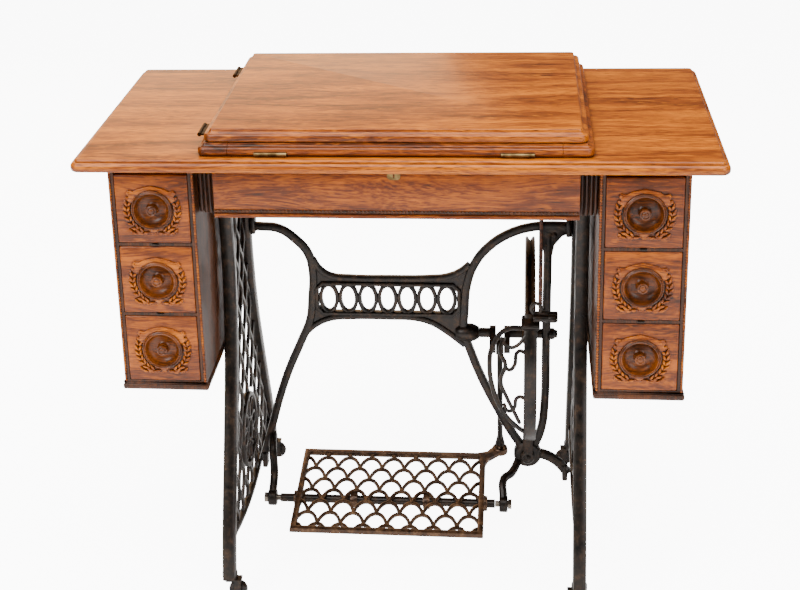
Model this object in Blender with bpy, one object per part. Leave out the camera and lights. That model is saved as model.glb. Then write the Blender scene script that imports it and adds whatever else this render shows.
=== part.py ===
"""Treadle sewing machine in an oak cabinet: six side drawers, a tilting till, a folding leaf over a stowed
head, and cast-iron legs with a treadle, a crank and a band wheel.

Metres, with +X to the right, +Y to the back and +Z up. The origin is on the floor, under the middle of the top.
"""

import math

import bmesh
import bpy
from mathutils import Matrix, Vector
from mathutils.geometry import delaunay_2d_cdt

# Clearances
GAP = 0.0003
RUN = 0.0006

# Table top, the tier on it and the leaf
TOP_WIDTH = 0.915
TOP_DEPTH = 0.480
TOP_HEIGHT = 0.726
TOP_THICK = 0.018
TOP_CORNER = 0.012
EDGE_ROUND = 0.006
TIER_WIDTH = 0.553
TIER_SETBACK = 0.022
TIER_THICK = 0.0177
LEAF_WIDTH = 0.537
LEAF_SETBACK = 0.030
LEAF_THICK = 0.0177
FLAP_WIDTH = 0.466
FLAP_DEPTH = 0.058
WELL_LEFT = 0.212
WELL_RIGHT = 0.218
WELL_BACK = 0.165
BARREL = 0.003
HINGE_LENGTH = 0.046
HINGE_PLATE = 0.0012
LEAF_HINGE_SPREAD = 0.150
FLAP_HINGE_SPREAD = 0.172

# Drawer cases and drawers
CASE_INSIDE = 0.284
CASE_WIDTH = 0.124
CASE_DEPTH = 0.418
CASE_SETBACK = 0.022
CASE_WALL = 0.008
BASE_THICK = 0.012
BASE_OVERHANG = 0.003
DRAWER_HEIGHT = 0.1055
DRAWER_RAIL = 0.0045
DRAWER_ROWS = 3
CASE_ROOF = 0.008
DRAWER_FIT = 0.0007
FRONT_THICK = 0.016
BOX_LENGTH = 0.380
BOX_WALL = 0.007
BOX_HEIGHT = 0.088
PULL_RADIUS = 0.030
PULL_DEPTH = 0.010

# Till behind the apron
APRON_WIDTH = 0.516
APRON_HEIGHT = 0.0745
APRON_THICK = 0.018
APRON_SETBACK = 0.030
SKIRT_THICK = 0.015
SKIRT_LIP = 0.012
TRAY_DEPTH = 0.032
TRAY_WALL = 0.006
TRAY_HEIGHT = 0.046

# Iron stand
FRAME_X = 0.268
FRAME_THICK = 0.020
FOOT_Z = 0.034
LEG_WIDTH = 0.026
CELL = 0.046
BRACE_Y = 0.069
BRACE_THICK = 0.016
AXLE_Z = 0.325
BOSS_X = 0.093
BOSS_REACH = 0.018
BAR_X = 0.221
RAIL_LEFT = -0.166
RAIL_RIGHT = 0.098
RAIL_LOW = 0.348
RAIL_TOP = 0.424
ARM_HEIGHT = 0.514
LUG_X = 0.191
LUG_Z = 0.105

# Band wheel, crank, pitman and treadle
WHEEL_RADIUS = 0.158
WHEEL_X = 0.193
WHEEL_WIDTH = 0.018
RIM = 0.016
SHAFT = 0.008
CRANK_THROW = 0.030
CRANK_REST = math.radians(22)
WEB = 0.010
PITMAN_X = 0.145
PITMAN_THICK = 0.012
TREADLE_LEFT = -0.190
TREADLE_RIGHT = 0.121
TREADLE_FRONT = 0.100
TREADLE_BACK = 0.115
TREADLE_THICK = 0.010
TREADLE_TILT = math.radians(7)
TREADLE_ARM = 0.130
PIVOT_Y = -0.005
PIVOT_Z = 0.050
CROSS_BAR = 0.007
PIVOT_LEFT = -0.2315
PIVOT_RIGHT = 0.152
PIVOT_LUG = 0.014
CONE = 0.005
GUARD_GAP = 0.008
GUARD_THICK = 0.006
SHIFTER_X = 0.224
BELT_X = 0.2095
BELT_RADIUS = 0.0027
PEG_RADIUS = 0.0035
PEG_X = 0.2225

# Casters
CASTER_RADIUS = 0.0145
CASTER_WIDTH = 0.011
CASTER_TRAIL = 0.012

# Stowed head
HEAD_HINGE_Y = 0.152
HEAD_HINGE_DROP = 0.009
BED_HALF = 0.185
BED_DEPTH = 0.178
BED_THICK = 0.012
ARM_TOP = 0.215
ARM_CENTRE = 0.090
HAND_WHEEL_RADIUS = 0.065
HAND_WHEEL_HEIGHT = 0.185
HEAD_RIGHT = 0.158
NOSE_DROP = 0.125
NEEDLE_X = -0.153
PRESSER_X = -0.137
BAR_RADIUS = 0.0028
NEEDLE_RADIUS = 0.001

# Places worked out from the sizes above
FRONT = -TOP_DEPTH / 2
BACK = TOP_DEPTH / 2
TOP_UNDER = TOP_HEIGHT - TOP_THICK
TIER_LOW = TOP_HEIGHT + GAP
TIER_TOP = TIER_LOW + TIER_THICK
LEAF_LOW = TIER_TOP + GAP
LEAF_TOP = LEAF_LOW + LEAF_THICK
FLAP_BACK = FRONT + TIER_SETBACK + FLAP_DEPTH
LEAF_AXIS_X = -TIER_WIDTH / 2 - BARREL - 0.001
LEAF_AXIS_Z = TIER_TOP + GAP / 2
FLAP_AXIS_Y = FRONT + TIER_SETBACK - 0.0005
FLAP_AXIS_Z = TIER_LOW + BARREL + GAP
CASE_FRONT = FRONT + CASE_SETBACK
CASE_TOP = TOP_UNDER - GAP
CELLS_TOP = CASE_TOP - CASE_ROOF
CELLS_LOW = CELLS_TOP - DRAWER_ROWS * DRAWER_HEIGHT - (DRAWER_ROWS - 1) * DRAWER_RAIL
APRON_LOW = TOP_UNDER - 0.0015 - APRON_HEIGHT
APRON_FRONT = FRONT + APRON_SETBACK
TILL_AXIS = (0, APRON_FRONT + 0.012, APRON_LOW + 0.004)
FRAME_INNER = FRAME_X - FRAME_THICK / 2
TREADLE_AXIS = (0, PIVOT_Y, PIVOT_Z)
WHEEL_AXIS = (WHEEL_X, BRACE_Y, AXLE_Z)
TREADLE_LIFT = CROSS_BAR + GAP + 0.0005
GUARD_RADIUS = WHEEL_RADIUS + GUARD_GAP
HEAD_HINGE = (0, HEAD_HINGE_Y, TIER_TOP - HEAD_HINGE_DROP)
BELT_TOP = TOP_UNDER - 0.012
PEG_Z = BELT_TOP - BELT_RADIUS - 2 * GAP - PEG_RADIUS

# Outline of the iron side frame: (share of its height, distance from the middle to the outer edge)
FRAME_EDGE = [
    (0.00, 0.232), (0.06, 0.222), (0.13, 0.206), (0.22, 0.180), (0.34, 0.146), (0.46, 0.115),
    (0.58, 0.095), (0.70, 0.087), (0.82, 0.092), (0.92, 0.108), (1.00, 0.130),
]


def clear_scene():
    for obj in list(bpy.data.objects):
        bpy.data.objects.remove(obj, do_unlink=True)


def material(name, colour, roughness, metallic=0.0):
    made = bpy.data.materials.new(name)
    made.use_nodes = True
    shader = made.node_tree.nodes["Principled BSDF"]
    shader.inputs["Base Color"].default_value = (*colour, 1)
    shader.inputs["Roughness"].default_value = roughness
    shader.inputs["Metallic"].default_value = metallic
    return made


# Shapes, each returned as a bmesh


def box(low, high):
    made = bmesh.new()
    size = Vector(high) - Vector(low)
    middle = (Vector(high) + Vector(low)) / 2
    bmesh.ops.create_cube(made, size=1, matrix=Matrix.Translation(middle) @ Matrix.Diagonal((*size, 1)))
    return made


def cylinder(start, end, radius, segments=20, end_radius=None):
    made = bmesh.new()
    start, end = Vector(start), Vector(end)
    turn = (end - start).to_track_quat("Z", "Y").to_matrix().to_4x4()
    place = Matrix.Translation((start + end) / 2) @ turn
    far = radius if end_radius is None else end_radius
    bmesh.ops.create_cone(
        made, cap_ends=True, segments=segments, radius1=radius, radius2=far,
        depth=(end - start).length, matrix=place,
    )
    return made


def inside(point, loops):
    """Whether a point is in the outline and out of its holes, by counting the edges to its right."""
    crossings = 0
    for loop in loops:
        for (x1, y1), (x2, y2) in zip(loop, loop[1:] + loop[:1]):
            if (y1 > point.y) != (y2 > point.y):
                crossings += point.x < x1 + (point.y - y1) * (x2 - x1) / (y2 - y1)
    return crossings % 2 == 1


def plate(outline, low, high, axis, holes=()):
    """Flat casting: an outline and its holes, thickened from low to high along an axis (0 is X, 1 is Y, 2 is Z)."""
    loops = [[tuple(point) for point in loop] for loop in (outline, *holes)]
    edges = []
    for loop in loops:
        first = len(edges)
        edges += [(first + i, first + (i + 1) % len(loop)) for i in range(len(loop))]
    flat = [Vector(point) for loop in loops for point in loop]
    filled = delaunay_2d_cdt(flat, edges, [], 0, 1e-7)
    flat, triangles = filled[0], filled[2]
    triangles = [face for face in triangles if inside(sum((flat[i] for i in face), Vector((0, 0))) / 3, loops)]
    made = bmesh.new()
    sides = []
    for level in (low, high):
        points = [list(point) for point in flat]
        for point in points:
            point.insert(axis, level)
        sides.append([made.verts.new(point) for point in points])
    for triangle in triangles:
        for side in sides:
            made.faces.new([side[i] for i in triangle])
    for a, b in edges:
        made.faces.new([sides[0][a], sides[0][b], sides[1][b], sides[1][a]])
    bmesh.ops.recalc_face_normals(made, faces=made.faces[:])
    return made


def lathe(profile, place, segments=24):
    """Closed profile of (radius, height) turned about Z, then placed."""
    made = bmesh.new()
    ring = [made.verts.new((radius, 0, height)) for radius, height in profile]
    edges = [made.edges.new((ring[i], ring[i - 1])) for i in range(len(ring)) if ring[i].co.x or ring[i - 1].co.x]
    bmesh.ops.spin(made, geom=edges, cent=(0, 0, 0), axis=(0, 0, 1), angle=math.tau, steps=segments)
    bmesh.ops.remove_doubles(made, verts=made.verts[:], dist=1e-5)
    bmesh.ops.recalc_face_normals(made, faces=made.faces[:])
    bmesh.ops.transform(made, matrix=place, verts=made.verts[:])
    return made


def circle(centre, radius, segments=20, start=0.0, end=math.tau):
    """Points round a circle, or along an arc with both ends when it is not a whole turn."""
    steps = segments if abs(end - start) >= math.tau - 1e-6 else segments - 1
    angles = [start + (end - start) * i / steps for i in range(segments)]
    return [(centre[0] + radius * math.cos(a), centre[1] + radius * math.sin(a)) for a in angles]


def rounded(low, high, radius, segments=4):
    """Corners of a rectangle rounded to a radius, anticlockwise."""
    corners = [(high[0], high[1], 0), (low[0], high[1], 1), (low[0], low[1], 2), (high[0], low[1], 3)]
    points = []
    for x, y, quarter in corners:
        centre = (x - math.copysign(radius, x - low[0] - radius), y - math.copysign(radius, y - low[1] - radius))
        start = quarter * math.pi / 2
        points += circle(centre, radius, segments, start, start + math.pi / 2)
    return points


def link(start, end, start_radius, end_radius, segments=10):
    """Outline of a bar with two round ends."""
    turn = math.atan2(end[1] - start[1], end[0] - start[0])
    near = circle(start, start_radius, segments, turn + math.pi / 2, turn + 1.5 * math.pi)
    far = circle(end, end_radius, segments, turn - math.pi / 2, turn + math.pi / 2)
    return near + far


def smooth(points, steps=4):
    """Curve through the points, with a few steps from each to the next."""
    points = [Vector(point) for point in points]
    padded = [2 * points[0] - points[1], *points, 2 * points[-1] - points[-2]]
    made = []
    for i in range(1, len(padded) - 2):
        a, b, c, d = padded[i - 1 : i + 3]
        for step in range(steps):
            t = step / steps
            made.append(
                0.5 * ((2 * b) + (c - a) * t + (2 * a - 5 * b + 4 * c - d) * t * t + (3 * b - a - 3 * c + d) * t**3)
            )
    made.append(points[-1])
    return made


def ribbon(points, width, low, high, axis):
    """Bar of even width along a curve in a plane, thickened along the plane's axis."""
    path = smooth(points)
    left, right = [], []
    for i, point in enumerate(path):
        along = path[min(i + 1, len(path) - 1)] - path[max(i - 1, 0)]
        across = Vector((-along.y, along.x)).normalized() * width / 2
        left.append(tuple(point + across))
        right.append(tuple(point - across))
    return plate(left + right[::-1], low, high, axis)


def rod(points, radius, segments=8, steps=3):
    """Round bar along a curve in space."""
    path = smooth(points, steps)
    made = bmesh.new()
    rings = []
    side = None
    for i, point in enumerate(path):
        along = (path[min(i + 1, len(path) - 1)] - path[max(i - 1, 0)]).normalized()
        if side is None:
            side = along.orthogonal().normalized()
        side = (side - along * side.dot(along)).normalized()
        up = along.cross(side)
        ring = []
        for k in range(segments):
            angle = math.tau * k / segments
            ring.append(made.verts.new(point + radius * (math.cos(angle) * side + math.sin(angle) * up)))
        rings.append(ring)
    for a, b in zip(rings, rings[1:]):
        for k in range(segments):
            made.faces.new([a[k], a[(k + 1) % segments], b[(k + 1) % segments], b[k]])
    made.faces.new(rings[0][::-1])
    made.faces.new(rings[-1])
    bmesh.ops.recalc_face_normals(made, faces=made.faces[:])
    return made


def moulded(low, high, levels, corner):
    """Board with rounded corners and a moulded edge: levels are (inset, height) from the bottom up."""
    made = bmesh.new()
    rings = []
    for inset, height in levels:
        outline = rounded((low[0] + inset, low[1] + inset), (high[0] - inset, high[1] - inset), corner)
        rings.append([made.verts.new((x, y, height)) for x, y in outline])
    for a, b in zip(rings, rings[1:]):
        for k in range(len(a)):
            made.faces.new([a[k], a[(k + 1) % len(a)], b[(k + 1) % len(a)], b[k]])
    made.faces.new(rings[0][::-1])
    made.faces.new(rings[-1])
    bmesh.ops.recalc_face_normals(made, faces=made.faces[:])
    return made


# Objects


def to_object(name, shape, origin=(0, 0, 0)):
    bmesh.ops.translate(shape, verts=shape.verts[:], vec=-Vector(origin))
    mesh = bpy.data.meshes.new(name)
    shape.to_mesh(mesh)
    shape.free()
    obj = bpy.data.objects.new(name, mesh)
    obj.location = origin
    bpy.context.scene.collection.objects.link(obj)
    return obj


def piece(name, look, shape, origin=(0, 0, 0), joined=(), cut=()):
    """One sub-part: a shape, the shapes joined to it and the shapes cut from it. Its origin is on its joint's axis."""
    obj = to_object(name, shape, origin)
    obj.data.materials.append(look)
    for operation, shapes in (("UNION", joined), ("DIFFERENCE", cut)):
        for i, other in enumerate(shapes):
            helper = to_object(f"{name}_{operation.lower()}_{i}", other, origin)
            helper.hide_render = True
            helper.display_type = "WIRE"
            step = obj.modifiers.new(helper.name, "BOOLEAN")
            step.operation = operation
            step.object = helper
            step.solver = "EXACT"
    return obj


# Cabinet


def make_top(oak):
    """Slab with the head's well, and the peg under it that the thrown-off belt hangs on."""
    levels = [
        (EDGE_ROUND, TOP_UNDER), (0, TOP_UNDER + EDGE_ROUND), (0, TOP_HEIGHT - EDGE_ROUND), (EDGE_ROUND, TOP_HEIGHT),
    ]
    slab = moulded((-TOP_WIDTH / 2, FRONT), (TOP_WIDTH / 2, BACK), levels, TOP_CORNER)
    post = cylinder((PEG_X, BRACE_Y, PEG_Z), (PEG_X, BRACE_Y, TOP_UNDER + 0.002), PEG_RADIUS, 12)
    arm = cylinder((BELT_X - 0.0045, BRACE_Y, PEG_Z), (PEG_X + PEG_RADIUS, BRACE_Y, PEG_Z), PEG_RADIUS, 12)
    cut = [well(TOP_UNDER - 0.001, TOP_HEIGHT + 0.01)]
    piece("table_top", oak, slab, joined=[post, arm], cut=cut)


def well(low, high):
    """Opening that the head hangs in, through the top and the tier."""
    return box((-WELL_LEFT, FLAP_BACK + RUN, low), (WELL_RIGHT, WELL_BACK, high))


def leaf_hinge_y(side):
    return side * LEAF_HINGE_SPREAD


def hinge_mortice(side, low, high):
    """Recess for one hinge plate under the leaf or in the tier."""
    y = leaf_hinge_y(side)
    half = HINGE_LENGTH / 2 + GAP
    inner = LEAF_AXIS_X + 0.030 + GAP
    return box((LEAF_AXIS_X - 0.01, y - half, low), (inner, y + half, high))


def make_tier(oak):
    levels = [
        (0.004, TIER_LOW), (0, TIER_LOW + 0.005), (0, TIER_LOW + 0.009), (EDGE_ROUND, TIER_TOP),
    ]
    half = TIER_WIDTH / 2
    slab = moulded((-half, FRONT + TIER_SETBACK), (half, BACK - TIER_SETBACK), levels, 0.008)
    notch = box(
        (-FLAP_WIDTH / 2 - RUN, FRONT, TIER_LOW - 0.01), (FLAP_WIDTH / 2 + RUN, FLAP_BACK + RUN, TIER_TOP + 0.01)
    )
    plates = [hinge_mortice(side, TIER_TOP - HINGE_PLATE - GAP, TIER_TOP + 0.01) for side in (-1, 1)]
    piece("bed_frame", oak, slab, cut=[notch, well(TIER_LOW - 0.01, TIER_TOP + 0.01), *plates])


def make_flap(oak, brass):
    y = FRONT + TIER_SETBACK
    profile = [
        (y + 0.0045, TIER_LOW), (FLAP_BACK, TIER_LOW), (FLAP_BACK, TIER_TOP), (y + EDGE_ROUND, TIER_TOP),
        (y + 0.0005, TIER_LOW + 0.010), (y + 0.0005, TIER_LOW + 0.0075), (y + 0.0045, TIER_LOW + 0.0070),
    ]
    axis = (0, FLAP_AXIS_Y, FLAP_AXIS_Z)
    slab = plate(profile, -FLAP_WIDTH / 2, FLAP_WIDTH / 2, 0)
    recess = BARREL + 2 * GAP
    recesses = []
    for side, name in ((-1, "left"), (1, "right")):
        x = side * FLAP_HINGE_SPREAD
        low, high = x - HINGE_LENGTH / 2, x + HINGE_LENGTH / 2
        recesses.append(cylinder(
            (low - GAP, FLAP_AXIS_Y, FLAP_AXIS_Z), (high + GAP, FLAP_AXIS_Y, FLAP_AXIS_Z), recess, 16
        ))
        barrel = cylinder((low, FLAP_AXIS_Y, FLAP_AXIS_Z), (high, FLAP_AXIS_Y, FLAP_AXIS_Z), BARREL, 16)
        piece(f"flap_hinge_{name}", brass, barrel, axis)
    piece("front_flap", oak, slab, axis, cut=recesses)


def make_leaf(oak, brass):
    levels = [
        (0.003, LEAF_LOW), (0, LEAF_LOW + 0.005), (0, LEAF_LOW + 0.009), (EDGE_ROUND + 0.002, LEAF_TOP),
    ]
    half = LEAF_WIDTH / 2
    axis = (LEAF_AXIS_X, 0, LEAF_AXIS_Z)
    slab = moulded((-half, FRONT + LEAF_SETBACK), (half, BACK - LEAF_SETBACK), levels, 0.008)
    plates = [hinge_mortice(side, LEAF_LOW - 0.01, LEAF_LOW + HINGE_PLATE + GAP) for side in (-1, 1)]
    piece("folding_leaf", oak, slab, axis, cut=plates)
    for side, name in ((-1, "front"), (1, "back")):
        make_leaf_hinge(name, leaf_hinge_y(side), axis, brass)


def make_leaf_hinge(name, y, axis, brass):
    """Butt hinge: the fixed plate carries the two end knuckles, and the moving plate the middle one."""
    third = HINGE_LENGTH / 3
    low = y - HINGE_LENGTH / 2
    inner = LEAF_AXIS_X + 0.030
    fixed = box((LEAF_AXIS_X, low, TIER_TOP - HINGE_PLATE), (inner, low + HINGE_LENGTH, TIER_TOP))
    room = box(
        (LEAF_AXIS_X - 0.01, low + third - GAP, TIER_TOP - 0.01),
        (LEAF_AXIS_X + BARREL + GAP, low + 2 * third + GAP, TIER_TOP + 0.01),
    )
    ends = [
        knuckle(low, low + third - GAP),
        knuckle(low + 2 * third + GAP, low + HINGE_LENGTH),
    ]
    piece(f"leaf_hinge_{name}_fixed", brass, fixed, axis, joined=ends, cut=[room])
    moving = box(
        (LEAF_AXIS_X + BARREL + GAP, low, LEAF_LOW), (inner, low + HINGE_LENGTH, LEAF_LOW + HINGE_PLATE)
    )
    tongue = box(
        (LEAF_AXIS_X, low + third + GAP, LEAF_LOW), (inner - 0.01, low + 2 * third - GAP, LEAF_LOW + HINGE_PLATE)
    )
    middle = knuckle(low + third + GAP, low + 2 * third - GAP)
    piece(f"leaf_hinge_{name}_moving", brass, moving, axis, joined=[tongue, middle])


def knuckle(low, high):
    return cylinder((LEAF_AXIS_X, low, LEAF_AXIS_Z), (LEAF_AXIS_X, high, LEAF_AXIS_Z), BARREL, 16)


def cell_low(row):
    """Height of the bottom of a drawer's opening, with row 0 at the bottom."""
    return CELLS_LOW + row * (DRAWER_HEIGHT + DRAWER_RAIL)


def side_box(side, low, high):
    """Box on the right, or its mirror image on the left."""
    if side > 0:
        return box(low, high)
    return box((-high[0], low[1], low[2]), (-low[0], high[1], high[2]))


def make_case(side, name, oak):
    outer = CASE_INSIDE + CASE_WIDTH
    back = CASE_FRONT + CASE_DEPTH
    floor = CELLS_LOW - 0.003
    case = side_box(side, (CASE_INSIDE, CASE_FRONT, floor), (outer, back, CASE_TOP))
    base = side_box(
        side,
        (CASE_INSIDE - BASE_OVERHANG, CASE_FRONT - BASE_OVERHANG, floor - BASE_THICK),
        (outer + BASE_OVERHANG, back + BASE_OVERHANG, floor + 0.001),
    )
    cells = []
    for row in range(DRAWER_ROWS):
        low = cell_low(row)
        cells.append(side_box(
            side,
            (CASE_INSIDE + CASE_WALL, CASE_FRONT - 0.01, low),
            (outer - CASE_WALL, back - CASE_WALL, low + DRAWER_HEIGHT),
        ))
    piece(f"{name}_drawer_case", oak, case, joined=[base], cut=cells)


def make_drawer(side, name, row, oak, plain):
    """Front, box and turned pull. Drawer 1 is the top one."""
    label = f"{name}_{DRAWER_ROWS - row}"
    low = cell_low(row) + DRAWER_FIT
    inner = CASE_INSIDE + CASE_WALL + DRAWER_FIT
    outer = CASE_INSIDE + CASE_WIDTH - CASE_WALL - DRAWER_FIT
    front = CASE_FRONT - 0.002
    middle = (side * (inner + outer) / 2, front, low - DRAWER_FIT + DRAWER_HEIGHT / 2)
    board = side_box(side, (inner, front, low), (outer, front + FRONT_THICK, low + DRAWER_HEIGHT - 2 * DRAWER_FIT))
    piece(f"drawer_front_{label}", oak, board, middle)
    start = front + FRONT_THICK + GAP
    inner += 0.001
    outer -= 0.001
    tray = side_box(side, (inner, start, low), (outer, start + BOX_LENGTH, low + BOX_HEIGHT))
    hollow = side_box(
        side,
        (inner + BOX_WALL, start + BOX_WALL, low + BOX_WALL),
        (outer - BOX_WALL, start + BOX_LENGTH - BOX_WALL, low + DRAWER_HEIGHT),
    )
    piece(f"drawer_box_{label}", plain, tray, middle, cut=[hollow])
    profile = [
        (0, 0), (PULL_RADIUS, 0), (PULL_RADIUS, 0.5 * PULL_DEPTH), (0.90 * PULL_RADIUS, PULL_DEPTH),
        (0.80 * PULL_RADIUS, 0.8 * PULL_DEPTH), (0.55 * PULL_RADIUS, 0.3 * PULL_DEPTH),
        (0.30 * PULL_RADIUS, 0.35 * PULL_DEPTH), (0.28 * PULL_RADIUS, 0.85 * PULL_DEPTH), (0, PULL_DEPTH),
    ]
    place = Matrix.Translation((middle[0], front - GAP, middle[2])) @ Matrix.Rotation(math.pi / 2, 4, "X")
    piece(f"drawer_pull_{label}", oak, lathe(profile, place, 20), middle)


def make_till(oak, plain, brass):
    half = APRON_WIDTH / 2
    back = APRON_FRONT + APRON_THICK
    panel = box((-half, APRON_FRONT, APRON_LOW), (half, back, APRON_LOW + APRON_HEIGHT))
    piece("apron_panel", oak, panel, TILL_AXIS)
    tray_half = half - 0.015
    low = APRON_LOW + SKIRT_LIP
    start = back + GAP
    tray = box((-tray_half, start, low), (tray_half, start + TRAY_DEPTH, low + TRAY_HEIGHT))
    hollow = box(
        (-tray_half + TRAY_WALL, start + TRAY_WALL, low + TRAY_WALL),
        (tray_half - TRAY_WALL, start + TRAY_DEPTH - TRAY_WALL, low + 2 * TRAY_HEIGHT),
    )
    piece("till_tray", plain, tray, TILL_AXIS, cut=[hollow])
    height = APRON_LOW + APRON_HEIGHT - 0.010
    shield = rounded((-0.009, height - 0.006), (0.009, height + 0.006), 0.004)
    keyhole = rounded((-0.0012, height - 0.0035), (0.0012, height + 0.0025), 0.001, 3)
    piece("lock_escutcheon", brass, plate(shield, APRON_FRONT - 0.0013, APRON_FRONT - GAP, 1, [keyhole]), TILL_AXIS)


def make_skirt(oak):
    """Board behind the apron, open in the middle for the till's tray."""
    half = CASE_INSIDE - GAP
    low = APRON_LOW - 0.002
    front = APRON_FRONT + APRON_THICK + 0.004
    corner = 0.015
    outline = [(half, CASE_TOP), (-half, CASE_TOP)]
    outline += circle((-half + corner, low + corner), corner, 5, math.pi, 1.5 * math.pi)
    outline += circle((half - corner, low + corner), corner, 5, 1.5 * math.pi, math.tau)
    board = plate(outline, front, front + SKIRT_THICK, 1)
    edge = APRON_WIDTH / 2 - 0.012
    mouth = box((-edge, front - 0.01, low + SKIRT_LIP), (edge, front + SKIRT_THICK + 0.01, CASE_TOP + 0.01))
    piece("front_skirt", oak, board, cut=[mouth])


# Iron stand


def frame_half(share):
    """Distance from the middle of a side frame to its outer edge, at a share of its height."""
    for (a, wide), (b, narrow) in zip(FRAME_EDGE, FRAME_EDGE[1:]):
        if share <= b:
            t = (share - a) / (b - a)
            return wide + (narrow - wide) * t
    return FRAME_EDGE[-1][1]


def frame_outline():
    """Side frame in the YZ plane: two flared legs, an arch between the feet and a straight top."""
    height = CASE_TOP - FOOT_Z
    outer = [(half, FOOT_Z + share * height) for share, half in FRAME_EDGE]
    foot = FRAME_EDGE[0][1]
    arch = smooth([(foot - 0.030, FOOT_Z), (0.190, 0.072), (0.150, 0.078), (0.080, 0.062), (0, 0.056)], 3)
    inner = [(point.x, point.y) for point in arch]
    right = outer[::-1] + inner
    left = [(-y, z) for y, z in right[-2::-1]]
    return right + left


def lattice_cell(y, z, width, height):
    """Pointed oval, the opening between two scales of the lattice."""
    return [
        (y, z + height / 2), (y - 0.36 * width, z + 0.18 * height), (y - 0.40 * width, z - 0.12 * height),
        (y, z - height / 2), (y + 0.40 * width, z - 0.12 * height), (y + 0.36 * width, z + 0.18 * height),
    ]


def frame_cells():
    """Staggered rows of cells that lie inside the legs and clear of the round medallion."""
    height = CASE_TOP - FOOT_Z
    cells = []
    row = 0
    z = 0.150
    medallion = FOOT_Z + 0.21 * height
    while z < CASE_TOP - 0.050:
        first = -8 + 0.5 * (row % 2)
        for column in range(17):
            y = (first + column) * CELL
            room = min(frame_half((z + d - FOOT_Z) / height) for d in (-0.5 * CELL, 0.5 * CELL)) - LEG_WIDTH
            clear = math.hypot(y, z - medallion) > 0.064
            if abs(y) + 0.40 * CELL < room and clear:
                cells.append(lattice_cell(y, z, CELL, 1.05 * CELL))
        z += 0.86 * CELL
        row += 1
    for i in range(6):
        angle = math.tau * (i + 0.5) / 6
        centre = (0.026 * math.cos(angle), medallion + 0.026 * math.sin(angle))
        cells.append(circle(centre, 0.008, 6, angle))
    return cells


def make_side_frame(side, name, iron):
    low, high = sorted((side * FRAME_INNER, side * (FRAME_INNER + FRAME_THICK)))
    casting = plate(frame_outline(), low, high, 0, frame_cells())
    sockets = []
    for end in (-1, 1):
        y = end * (FRAME_EDGE[0][1] - 0.015)
        sockets.append(cylinder((side * FRAME_X, y, FOOT_Z - 0.01), (side * FRAME_X, y, FOOT_Z + 0.012), 0.0035, 12))
    piece(f"{name}_side_frame", iron, casting, cut=sockets)


def make_brace(iron):
    """Flat casting behind the treadle, with its window, four arms, bearing bosses and the treadle's two lugs."""
    half = BRACE_THICK / 2
    reach = FRAME_INNER - 0.0075

    def bar(points, thin, width=0.014):
        return ribbon(points, width, BRACE_Y - half + thin, BRACE_Y + half - thin, 1)

    openings = []
    for i in range(5):
        left = RAIL_LEFT + 0.018 + i * 0.046
        openings.append(rounded((left, RAIL_LOW + 0.014), (left + 0.036, RAIL_TOP - 0.014), 0.014, 3))
    rail = rounded((RAIL_LEFT, RAIL_LOW), (RAIL_RIGHT, RAIL_TOP), 0.020, 3)
    window = plate(rail, BRACE_Y - half, BRACE_Y + half, 1, openings)
    upper_left = [(-0.150, 0.410), (-0.168, 0.470), (-0.205, 0.508), (-reach, ARM_HEIGHT)]
    upper_right = [(0.085, 0.410), (0.112, 0.468), (0.155, 0.508), (0.205, 0.516), (reach, ARM_HEIGHT)]
    lower_left = [(-0.150, 0.372), (-0.180, 0.300), (-0.222, 0.190), (-0.240, 0.120), (-reach, 0.080)]
    lower_right = [
        (0.070, 0.365), (BOSS_X, AXLE_Z), (0.111, 0.258), (0.122, 0.190), (0.146, 0.143), (LUG_X, LUG_Z),
    ]
    foot_arm = [(LUG_X, LUG_Z), (0.226, 0.104), (reach, 0.076)]
    upright = [(BAR_X, 0.510), (BAR_X, 0.300), (BAR_X - 0.004, 0.180), (LUG_X + 0.010, LUG_Z)]
    joined = [
        bar(upper_left, 0.0004),
        bar(upper_right, 0.0004),
        bar(lower_left, 0.0008),
        bar(lower_right, 0.0008),
        bar(foot_arm, 0.0012),
        bar(upright, 0.0016, 0.015),
        cylinder((LUG_X, BRACE_Y - half - 0.003, LUG_Z), (LUG_X, BRACE_Y + half + 0.003, LUG_Z), 0.019),
        cylinder((BOSS_X - 0.009, BRACE_Y, AXLE_Z), (BOSS_X + BOSS_REACH, BRACE_Y, AXLE_Z), 0.015),
    ]
    for side, height in ((-1, ARM_HEIGHT), (1, ARM_HEIGHT), (-1, 0.082), (1, 0.077)):
        joined.append(side_box(
            side,
            (FRAME_INNER - 0.009, BRACE_Y - half - 0.002, height - 0.013),
            (FRAME_INNER - GAP, BRACE_Y + half + 0.002, height + 0.013),
        ))
    holes = []
    for x, start_x, start_z in ((PIVOT_LEFT, -0.236, 0.135), (PIVOT_RIGHT, LUG_X - 0.014, LUG_Z - 0.013)):
        joined.append(cylinder((x - PIVOT_LUG / 2, PIVOT_Y, PIVOT_Z), (x + PIVOT_LUG / 2, PIVOT_Y, PIVOT_Z), 0.013))
        joined.append(rod([
            (start_x, BRACE_Y, start_z), ((x + start_x) / 2, BRACE_Y - 0.035, start_z - 0.020),
            (x, PIVOT_Y + 0.020, PIVOT_Z + 0.022), (x, PIVOT_Y, PIVOT_Z + 0.006),
        ], 0.0062))
        holes.append(cylinder((x - 0.02, PIVOT_Y, PIVOT_Z), (x + 0.02, PIVOT_Y, PIVOT_Z), CONE + RUN))
    piece("centre_brace", iron, window, joined=joined, cut=holes)


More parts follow.
